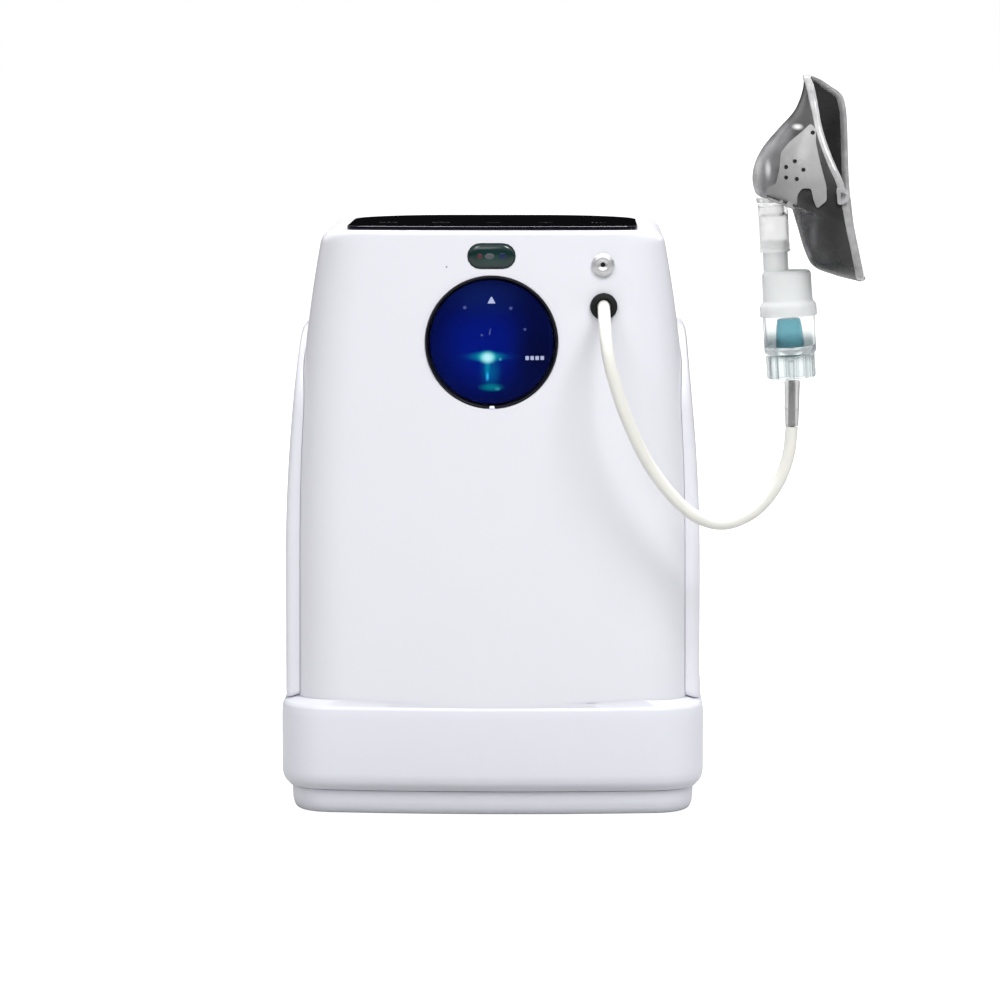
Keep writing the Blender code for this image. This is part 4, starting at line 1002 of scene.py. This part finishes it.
def make_front_fittings():
    """The receiver's lens with three parts behind it, the oxygen port and the hose's grommet."""
    face = front_y(0, LENS.z)
    section = rounded([(5.6, 1.4), (3.2, 1.2), (1.4, 0.7), (0.3, -0.3), (0, -1.2), (0, -7)], 0.7, 4)
    rings = [[(LENS.x + x, face - lift, LENS.z + z)
              for x, z in capsule(2 * (LENS_HALF.x - inset), 2 * (LENS_HALF.z - inset), 20)]
             for inset, lift in section]
    piece("receiver_lens", lofted("receiver_lens", rings), FINISHES["lens"], "cabinet", "ir_lens",
          slot="green_lens")
    parts = (("receiver_red", 1.5, 1.0, -6.8, (0.085, 0.020, 0.026)),
             ("receiver_bar", 1.7, 1.7, -1.1, (0.085, 0.09, 0.10)),
             ("receiver_blue", 1.9, 1.0, 6.4, (0.006, 0.018, 0.075)))
    for name, radius, stretch, x, colour in parts:
        section = rounded([(0, 0.25), (radius, 0.05), (radius, -0.6), (0, -0.6)], 0.2, 3)
        dome = turned(name, section, (LENS.x + x, face - 1.4, LENS.z), FACING_FRONT, 32, stretch=(stretch, 1))
        piece(name, dome, moulded(name, colour, 0.3, drift=0.2), "cabinet", slot="green_lens")

    outlet = [(1.35, -14), (1.35, 2.0), (2.6, 2.9), (3.4, 3.2), (4.9, 3.0), (5.6, 2.3), (5.7, 1.9),
              (6.5, 1.7), (6.65, 0.5), (4.5, 0.5), (4.5, -14)]
    place = (OUTLET.x, front_y(OUTLET.x - 6, OUTLET.z + 6), OUTLET.z)
    mesh = turned("outlet_port", rounded(outlet, 0.5, 4, loop=True), place, FACING_FRONT, 96, loop=True)
    piece("outlet_port", mesh, FINISHES["steel"], "cabinet", "oxygen_outlet", slot="steel")
    plug = turned("outlet_bore", rod(1.3, -13, -1.0), place, FACING_FRONT, 32)
    piece("outlet_bore", plug, FINISHES["black"], "cabinet", slot="black_plastic")

    grommet = [(4.0, -8), (4.0, 3.4), (5.0, 4.4), (6.6, 4.0), (7.8, 2.4), (8.0, 0.6), (6.2, 0.6), (6.2, -8)]
    place = (GROMMET.x, front_y(GROMMET.x - 7, GROMMET.z + 7), GROMMET.z)
    mesh = turned("hose_bush", rounded(grommet, 1.0, 4, loop=True), place, FACING_FRONT, 96, loop=True)
    piece("hose_bush", mesh, FINISHES["rubber"], "cabinet", "hose_grommet", slot="rubber")


# ---------------------------------------------------------------- nebuliser

def kit_place(x, height):
    """A point in the nebuliser's own tilted frame."""
    return KIT_BASE + KIT_TURN.to_3x3() @ Vector((x, 0, height))


def make_nebuliser():
    """The jar with its ribbed foot and blue baffle, its frosted cap, and the collar that holds the mask."""
    end = Vector(HOSE_ROUTE[-1]) / MM
    foot = end + Vector((0, 0, 0.4))
    sleeve = [(1.9, 0), (1.9, 26.6), (4.0, 26.6), (4.5, 25.6), (4.2, 12.4), (4.35, 11.8), (4.35, 10.0),
              (4.1, 9.4), (3.8, 0.8), (3.6, 0)]
    mesh = turned("hose_sleeve", rounded(sleeve, 0.4, 3, loop=True), foot, segments=64, loop=True)
    pieces = [piece("hose_sleeve", mesh, FINISHES["sleeve"], "cabinet", "hose_connector",
                    slot="grey_plastic")]
    # A dark rod in the sleeve's bore: painted shade for the dark inside of the hollow sleeve.
    core = turned("sleeve_bore_shade", rounded(rod(1.75, 0.4, 26.2), 0.3, 3), foot, segments=48)
    pieces.append(piece("sleeve_bore_shade", core, FINISHES["core"], "cabinet", slot="grey_plastic"))

    cup = [(0, -9), (1.6, -9), (1.8, 10.5), (12.0, 15.0), (12.0, 0.6), (13.5, 0.6), (13.7, 14), (14.9, 16),
           (14.9, CUP_TOP), (13.4, CUP_TOP), (13.4, 19), (3.0, 13.6), (0, 13.6)]
    mesh = turned("jar", rounded(cup, 0.8, 4), KIT_BASE, KIT_TURN, 96)
    pieces.append(piece("jar", mesh, FINISHES["jar"], "cabinet", "nebulizer_cup", slot="clear_plastic"))
    ribs = []
    section = ((13.4, -0.9), (14.2, -0.5), (14.2, 0.5), (13.4, 0.9))
    for i in range(RIB_COUNT):
        rib = lofted("rib", [[(x, y, z) for x, y in section] for z in (1.2, 13.6)])
        turn = Matrix.Rotation(2 * math.pi * i / RIB_COUNT, 4, "Z")
        ribs.append(moved(rib, KIT_BASE, KIT_TURN @ turn))
    pieces.append(piece("jar_ribs", joined("ribs", ribs), FINISHES["clear"], "cabinet", slot="clear_plastic"))
    baffle = [(0, 14.4), (2.6, 14.4), (8.0, 17.5), (8.2, 20), (7.4, 30), (6.6, 34.5), (0, 34.5)]
    mesh = turned("jet_baffle", rounded(baffle, 1.0, 4), KIT_BASE, KIT_TURN, 64)
    pieces.append(piece("jet_baffle", mesh, FINISHES["baffle"], "cabinet", "nebulizer_baffle",
                        slot="blue_plastic"))

    brim = CAP_BOTTOM + 1.6
    cap = [(0, CAP_TOP), (12.6, CAP_TOP), (14.1, CAP_TOP - 1.5), (14.3, 45), (16.2, 43), (16.4, brim),
           (15.3, brim), (15.3, CUP_TOP + 0.4), (12.5, CUP_TOP + 0.4), (12.5, CAP_TOP - 1.6),
           (0, CAP_TOP - 1.6)]
    mesh = turned("jar_cap", rounded(cap, 1.0, 4), KIT_BASE, KIT_TURN, 96)
    offset = kit_place(KIT_OUTLET_X, 0)
    chimney = turned("chimney", rod(7.2, CAP_TOP - 0.8, CHIMNEY_TOP), offset, KIT_TURN, 64)
    bore = turned("bore", rod(6.0, CAP_TOP - 6, CHIMNEY_TOP + 5), offset, KIT_TURN, 64)
    mesh = combined(combined(mesh, [chimney], "UNION"), [bore])
    pieces.append(piece("jar_cap", mesh, FINISHES["frosted"], "nebulizer_top", "nebulizer_cap",
                        slot="frosted_plastic"))

    collar = [(7.6, COLLAR_BOTTOM), (8.9, COLLAR_BOTTOM), (8.9, COLLAR_BOTTOM + 1.6),
              (8.5, COLLAR_BOTTOM + 2.2), (8.5, COLLAR_TOP + 0.6), (8.8, COLLAR_TOP + 1.0),
              (8.7, COLLAR_TOP + 2.6), (6.6, COLLAR_TOP + 2.6), (6.6, COLLAR_TOP + 4.5),
              (5.6, COLLAR_TOP + 4.5), (5.6, COLLAR_TOP - 3), (7.6, COLLAR_TOP - 5)]
    mesh = turned("mask_joint", rounded(collar, 0.5, 3, loop=True), offset, KIT_TURN, 80, loop=True)
    pieces.append(piece("mask_joint", mesh, FINISHES["collar"], "nebulizer_top", "mask_collar",
                        slot="frosted_plastic"))
    return pieces


# ---------------------------------------------------------------- mask

def mask_rows(count=72):
    """The mask's sections, smoothed: dome, near rim, far rim and half width for each row."""
    ends = [smooth_route([(dx, 0, dz) for dx, dz, *_ in MASK_SECTIONS], count),
            smooth_route([(nx, 0, nz) for _, _, nx, nz, *_ in MASK_SECTIONS], count),
            smooth_route([(fx, w, fz) for *_, fx, fz, w in MASK_SECTIONS], count)]
    return list(zip(*ends))


def mask_grid(columns=40):
    """Open grid of the mask, from the near rim over the dome to the far rim."""
    grid = []
    for dome, near, far in mask_rows():
        half_width = far.y
        row = []
        for step in range(columns + 1):
            angle = math.pi * step / columns - math.pi / 2
            share = (1 + math.sin(angle)) / 2
            rim = near.lerp(Vector((far.x, 0, far.z)), share)
            bulge = math.cos(angle) ** 0.8 if abs(angle) < math.pi / 2 - 1e-6 else 0.0
            point = rim + (Vector((dome.x, 0, dome.z)) - rim) * bulge
            point.y = MASK_MIDDLE_Y + half_width * math.sin(angle)
            row.append(point)
        grid.append(row)
    return grid


def make_mask():
    """The mask's soft clear shell. Returns its open surface, which the cheeks are laid on."""
    grid = mask_grid()
    width = len(grid[0])
    points = [point for row in grid for point in row]
    faces = [(r * width + c, r * width + c + 1, (r + 1) * width + c + 1, (r + 1) * width + c)
             for r in range(len(grid) - 1) for c in range(width - 1)]
    surface = BVHTree.FromPolygons(points, faces)
    shell = solid_sheet("mask_body", points, faces, MASK_WALL)
    port_place = kit_place(KIT_OUTLET_X, COLLAR_TOP)
    port = turned("port", rod(7.1, -9, 7), port_place, KIT_TURN, 64)
    vents = [front_rod(1.15, x, z, -170, -60) for x, z in MASK_VENTS]
    body = piece("mask_body", combined(shell, [port] + vents), FINISHES["vinyl"], "face_mask", "mask_shell",
                 slot="clear_plastic", sharp=50)
    body.data.materials.append(FINISHES["vinyl_inner"])
    # Faces that look into the mask take the inner vinyl, painted near-black as shade.
    for face in body.data.polygons:
        centre = face.center / MM
        inward = Vector((MASK_INSIDE_X, MASK_MIDDLE_Y, centre.z)) - centre
        if face.normal.dot(inward) > 0:
            face.material_index = 1
    return surface


def solid_sheet(name, points, faces, thickness):
    """A closed wall of even thickness about an open surface."""
    obj = bpy.data.objects.new(name, mesh_from(name, points, faces))
    bpy.context.scene.collection.objects.link(obj)
    wall = obj.modifiers.new("wall", "SOLIDIFY")
    wall.thickness = thickness * MM
    wall.offset = 0
    graph = bpy.context.evaluated_depsgraph_get()
    result = bpy.data.meshes.new_from_object(obj.evaluated_get(graph))
    bpy.data.objects.remove(obj)
    return result


def make_rim():
    """The rolled edge of the mask: a flat bead that follows the near rim down and the far rim back up."""
    rows = mask_rows(40)
    near = [Vector((n.x, MASK_MIDDLE_Y - f.y, n.z)) for _, n, f in rows]
    far = [Vector((f.x, MASK_MIDDLE_Y + f.y, f.z)) for _, _, f in rows]
    path = smooth_route(near[::2] + far[::-1][::2], 220, closed=True)
    wide, thin, inward = 2.3, 1.1, 0.4
    angles = [2 * math.pi * step / 16 for step in range(16)]
    rings = []
    for i, point in enumerate(path):
        along = (path[(i + 1) % len(path)] - path[i - 1]).normalized()
        outward = Vector((0, point.y - MASK_MIDDLE_Y, 0))
        side = Vector((1, 0, 0)) - along * along.x
        side = side.normalized() if side.length > 0.2 else outward.normalized()
        depth = along.cross(side).normalized()
        rings.append([point + side * (wide * math.cos(angle) - inward) + depth * thin * math.sin(angle)
                      for angle in angles])
    # Its pale grey is a painted highlight along the rolled edge.
    piece("mask_rim", lofted_tube("mask_rim", rings), FINISHES["rim"], "face_mask", slot="clear_plastic")


def filled(outline, holes, spacing=2.0):
    """Points in (x, z) and faces that fill an outline round some holes, finely enough to bend."""
    shape = bmesh.new()
    for loop in [outline] + holes:
        verts = [shape.verts.new((x, z, 0)) for x, z in loop]
        for i, vert in enumerate(verts):
            shape.edges.new((vert, verts[(i + 1) % len(verts)]))
    bmesh.ops.triangle_fill(shape, edges=shape.edges, use_beauty=True)
    for _ in range(5):
        long_edges = [edge for edge in shape.edges if edge.calc_length() > spacing]
        if not long_edges:
            break
        bmesh.ops.subdivide_edges(shape, edges=long_edges, cuts=1)
        bmesh.ops.triangulate(shape, faces=shape.faces)
    shape.verts.index_update()
    points = [(vert.co.x, vert.co.y) for vert in shape.verts]
    faces = [tuple(vert.index for vert in face.verts) for face in shape.faces]
    shape.free()
    return points, faces


def make_cheeks(surface):
    """The flat panels on both sides of the mask, pierced by the breathing holes; their pale grey is a painted
    reflection.
    """
    outline = rounded(CHEEK_OUTLINE, 1.6, 3, loop=True)
    holes = [circle(1.25, vent, steps=20) for vent in MASK_VENTS]
    points, faces = filled(outline, holes)
    for label, side in (("near", -1), ("far", 1)):
        lifted = []
        for x, z in points:
            hit = surface.ray_cast(Vector((x, MASK_MIDDLE_Y + side * 90, z)), Vector((0, -side, 0)))[0]
            y = hit.y if hit else MASK_MIDDLE_Y + side * 30
            lifted.append(Vector((x, y + side * 1.5, z)))
        mesh = solid_sheet(f"mask_cheek_{label}", lifted, faces, 0.8)
        piece(f"mask_cheek_{label}", mesh, FINISHES["cheek"], "face_mask", slot="clear_plastic", sharp=50)


def make_mask_fittings():
    """The port ring round the collar and the lugs that take the head strap."""
    place = kit_place(KIT_OUTLET_X, COLLAR_TOP)
    ring = [(7.2, 3.2), (7.2, 5.6), (8.4, 6.2), (9.4, 5.8), (9.2, 3.2)]
    mesh = turned("mask_port", rounded(ring, 0.8, 4, loop=True), place, KIT_TURN, 72, loop=True)
    piece("mask_port", mesh, FINISHES["collar"], "face_mask", slot="clear_plastic")
    lug = [(195.7, 370.6), (201.7, 369.6), (204.2, 365.6), (201.7, 361.6), (196.7, 360.1)]
    outer = rounded(lug, 2.0, 5, loop=True)
    centre = Vector((199.8, 365.6))
    inner = [tuple(centre + (Vector(point) - centre) * 0.42) for point in outer]
    for label, side in (("near", -1), ("far", 1)):
        y = MASK_MIDDLE_Y + side * 38.6
        rings = [[(x, y + depth, z) for x, z in loop]
                 for loop, depth in ((outer, -0.8), (outer, 0.8), (inner, 0.8), (inner, -0.8))]
        piece(f"strap_lug_{label}", lofted_tube("strap_lug", rings), FINISHES["rim"], "face_mask",
              slot="clear_plastic")


# ---------------------------------------------------------------- back

def rounded_rectangle(width, height, radius, y, centre, steps=6):
    """A ring in a plane of constant depth."""
    points = []
    for quarter, (i, j) in enumerate(((1, 1), (-1, 1), (-1, -1), (1, -1))):
        corner = (i * (width / 2 - radius), j * (height / 2 - radius))
        for step in range(steps + 1):
            angle = math.radians(90 * quarter + 90 * step / steps)
            points.append((centre.x + corner[0] + radius * math.cos(angle), y,
                           centre.z + corner[1] + radius * math.sin(angle)))
    return points


def framed(name, section, centre, steps=6):
    """A solid from rounded rectangles: (width, height, radius, depth) for each ring."""
    return lofted(name, [rounded_rectangle(w, h, r, y, centre, steps) for w, h, r, y in section])


def make_filter_door():
    """The louvred door over the filters, with a hinge roll on one side and a finger tab on the other."""
    low, high = box_mm("filter_door")
    centre = (low + high) / 2
    half = (high.y - low.y) / 2
    width = high.x - low.x
    edge = [(-half * math.sin(math.radians(degrees)), half * math.cos(math.radians(degrees)))
            for degrees in range(0, 181, 12)]
    section = edge + [(width - half - 1.0, -half), (width - half, 1.0 - half), (width - half, half)]
    rings = [[(low.x + half + x, centre.y + y, z) for x, y in section] for z in (low.z, high.z)]
    mesh = lofted("door", rings)
    cuts = [slot_cut(58, 3.2, centre.y - 6, centre.y + 6, (centre.x, centre.z - 30 + 7.5 * row), "X")
            for row in range(9)]
    mesh = combined(mesh, cuts)
    piece("filter_hatch_door", mesh, FINISHES["shell"], "filter_hatch", "filter_door", slot="white_plastic")
    tab = Vector((high.x - 3.4, 0, centre.z))
    section = [(4.6, 22, 2.2, high.y - 0.4), (4.6, 22, 2.2, high.y + 0.7), (3.8, 21.2, 1.8, high.y + 1.1),
               (2.6, 20, 1.2, high.y + 0.5)]
    piece("filter_hatch_tab", framed("tab", section, tab), FINISHES["band"], "filter_hatch",
          slot="white_plastic")


def make_power_fittings():
    """Mains inlet, switch bezel, blank plate and screws on the back."""
    low, high = box_mm("power_inlet")
    centre = (low + high) / 2
    section = [(24, 16.5, 3.0, 92), (24, 16.5, 3.0, high.y - 0.6), (25.2, 17.7, 3.4, high.y),
               (30, 23, 2.6, high.y), (31, 24, 3.0, high.y - 0.7), (31, 24, 3.0, CASE_BACK + GAP),
               (27, 20, 2.0, CASE_BACK + GAP), (27, 20, 2.0, low.y)]
    piece("mains_inlet", framed("inlet", section, centre), FINISHES["black"], "cabinet", "power_inlet",
          slot="black_plastic")
    pins = [framed("pin", [(2.0, 4.0, 0.6, 91.5), (2.0, 4.0, 0.6, 102.4), (1.2, 3.2, 0.4, 103.0)],
                   Vector((centre.x + dx, 0, centre.z + dz)), 3) for dx, dz in ((-7, -2), (7, -2), (0, 2))]
    piece("mains_pins", joined("pins", pins), FINISHES["brass"], "cabinet", slot="steel")

    low, high = box_mm("switch_bezel")
    centre = (low + high) / 2
    section = [(10.8, 17, 0.6, low.y), (10.8, 17, 0.6, high.y - 0.5), (11.8, 18, 1.0, high.y),
               (15.2, 21.2, 1.6, high.y), (16, 22, 2.0, high.y - 0.6), (16, 22, 2.0, CASE_BACK + GAP),
               (12.6, 18.6, 0.8, CASE_BACK + GAP), (12.6, 18.6, 0.8, low.y)]
    rings = [rounded_rectangle(w, h, r, y, centre) for w, h, r, y in section]
    piece("rocker_frame", lofted_tube("rocker_frame", rings), FINISHES["black"], "cabinet", "switch_bezel",
          slot="black_plastic")

    low, high = box_mm("blank_plate")
    centre = (low + high) / 2
    section = [(50, 22, 2.5, low.y), (50, 22, 2.5, high.y - 0.15), (49.6, 21.6, 2.3, high.y)]
    piece("blank_label", framed("label", section, centre), FINISHES["aluminium"], "cabinet", "blank_plate",
          slot="aluminium")

    head = [(0, 9.0), (1.9, 9.0), (1.9, -GAP), (4.2, -GAP), (4.1, -1.2), (3.2, -2.1), (1.6, -2.5), (0, -2.6)]
    for i in range(1, 5):
        centre = middle(f"case_screw_{i}")
        mesh = turned("screw", rounded(head, 0.3, 3), (centre.x, CASE_BACK, centre.z), FACING_FRONT, 48)
        for size in ((0.9, 2.6, 4.4), (4.4, 2.6, 0.9)):
            mesh = combined(mesh, [block(size, (centre.x, CASE_BACK + 2.6, centre.z))])
        piece(f"cross_screw_{i}", mesh, FINISHES["steel"], "cabinet", f"case_screw_{i}", slot="steel")


def make_grip():
    """The moulded pocket that the fingers hook into, with a soft lip."""
    low, high = box_mm("grip_pocket")
    centre = (low + high) / 2
    width, height = high.x - low.x - 10, high.z - low.z - 10
    deep = low.y + 2
    steps = [(-8, 4, deep), (-2, 6, deep + 1.2), (0, 7, deep + 5), (0, 7, high.y - 2.6),
             (1.2, 7.6, high.y - 0.8), (3.6, 8.4, high.y), (8.4, 9.6, high.y), (10, 10, high.y - 0.7),
             (10, 10, CASE_BACK + GAP), (4, 7, CASE_BACK + GAP), (4, 7, low.y)]
    section = [(width + wider, height + wider, radius, y) for wider, radius, y in steps]
    piece("hand_grip", framed("hand_grip", section, centre, 10), FINISHES["grey"], "cabinet", "grip_pocket",
          slot="grey_plastic")


# ---------------------------------------------------------------- nodes kept from the frame

KEPT = {
    "steel": ["hose_barb", "chassis_shelf"],
    "aluminium": ["compressor_body", "compressor_head_left", "compressor_head_right", "sieve_column_left",
                  "sieve_column_right", "valve_manifold", "power_supply"],
    "black": ["switch_rocker", "breaker_body", "breaker_button", "fan_frame", "fan_rotor", "solenoid_left",
              "solenoid_right"],
    "rubber": [f"{kind}_{i}" for kind in ("foot", "compressor_mount") for i in range(1, 5)],
    "grey": ["cup_cradle", "compressor_fan", "oxygen_tank"],
    "clear": ["humidifier_cup"],
    "foam": ["foam_filter"],
    "paper": ["hepa_filter"],
    "board": ["panel_board", "control_board"],
}


def finish_kept_nodes():
    """Gives every node that is shown as packed its own finish."""
    for finish, nodes in KEPT.items():
        for node in nodes:
            materials = frame["nodes"][node].data.materials
            materials.clear()
            materials.append(FINISHES[finish])


# ---------------------------------------------------------------- studio

SKY_STRENGTH = (0.004, 0.72)    # at the horizon and overhead
FLOOR_GLOW = 1.0


def area_light(name, place, target, size, power):
    data = bpy.data.lights.new(name, "AREA")
    data.shape = "RECTANGLE"
    data.size, data.size_y = size
    data.energy = power
    light = bpy.data.objects.new(name, data)
    bpy.context.scene.collection.objects.link(light)
    light.location = place
    light.rotation_euler = (Vector(target) - Vector(place)).to_track_quat("-Z", "Y").to_euler()


def make_sky():
    """Soft light from above that fades towards the horizon. Seen straight or through glass, it is white."""
    world = bpy.data.worlds.new("sky")
    world.use_nodes = True
    tree = world.node_tree
    background = tree.nodes["Background"]
    direction = tree.nodes.new("ShaderNodeTexCoord").outputs["Generated"]
    split = tree.nodes.new("ShaderNodeSeparateXYZ")
    tree.links.new(direction, split.inputs[0])
    fade = tree.nodes.new("ShaderNodeMapRange")
    fade.interpolation_type = "SMOOTHSTEP"
    for label, value in zip(("From Min", "From Max", "To Min", "To Max"), (0.12, 0.6, *SKY_STRENGTH)):
        fade.inputs[label].default_value = value
    tree.links.new(split.outputs["Z"], fade.inputs["Value"])
    path = tree.nodes.new("ShaderNodeLightPath")
    strength = fade.outputs["Result"]
    for seen in ("Is Camera Ray", "Is Transmission Ray"):
        larger = tree.nodes.new("ShaderNodeMath")
        larger.operation = "MAXIMUM"
        tree.links.new(strength, larger.inputs[0])
        tree.links.new(path.outputs[seen], larger.inputs[1])
        strength = larger.outputs[0]
    tree.links.new(strength, background.inputs["Strength"])
    background.inputs["Color"].default_value = (1, 1, 1, 1)
    bpy.context.scene.world = world


def make_studio():
    """A pale floor, a soft sky and soft area lights, the strongest of those in front at the upper right."""
    floor = bpy.data.objects.new("floor", block((80000, 80000, 40), (0, 0, -20)))
    bpy.context.scene.collection.objects.link(floor)
    finish = Finish("floor", (0.42, 0.42, 0.42), 0.7, Emission_Color=(1, 1, 1, 1))
    finish.paint(finish.blend(finish.noise(0.5), (0.41, 0.41, 0.41), (0.43, 0.43, 0.43)))
    path = finish.node("ShaderNodeLightPath").outputs
    seen = finish.maths("MAXIMUM", path["Is Camera Ray"], path["Is Transmission Ray"])
    finish.feed(finish.shader.inputs["Emission Strength"], finish.maths("MULTIPLY", seen, FLOOR_GLOW))
    floor.data.materials.append(finish.material)
    make_sky()

    middle_point = (0.0, 0.0, 0.2)
    area_light("glow", (-0.2, -0.9, 0.8), (0.0, -0.1, 0.34), (0.4, 0.3), 0.65)
    area_light("key", (0.8, -1.5, 2.1), middle_point, (0.9, 0.9), 33)
    area_light("fill", (-0.7, -1.6, 2.0), middle_point, (0.9, 0.9), 13)
    area_light("top", (0.1, 0.5, 2.4), middle_point, (1.0, 1.0), 50)
    area_light("back_right", (1.7, 2.0, 1.4), middle_point, (1.4, 1.4), 8)
    area_light("back_left", (-1.8, 1.8, 1.2), middle_point, (1.4, 1.4), 6)
    bpy.context.scene.view_settings.view_transform = "Standard"


# ---------------------------------------------------------------- the whole scene

def main():
    make_camera()
    hose = make_hose()
    make_shells()
    make_side_cover("left", -1)
    make_side_cover("right", 1)
    make_base()
    make_top_panel()
    make_window()
    make_front_fittings()
    kit = make_nebuliser()
    surface = make_mask()
    make_rim()
    make_cheeks(surface)
    make_mask_fittings()
    make_filter_door()
    make_power_fittings()
    make_grip()
    finish_kept_nodes()
    make_studio()


main()
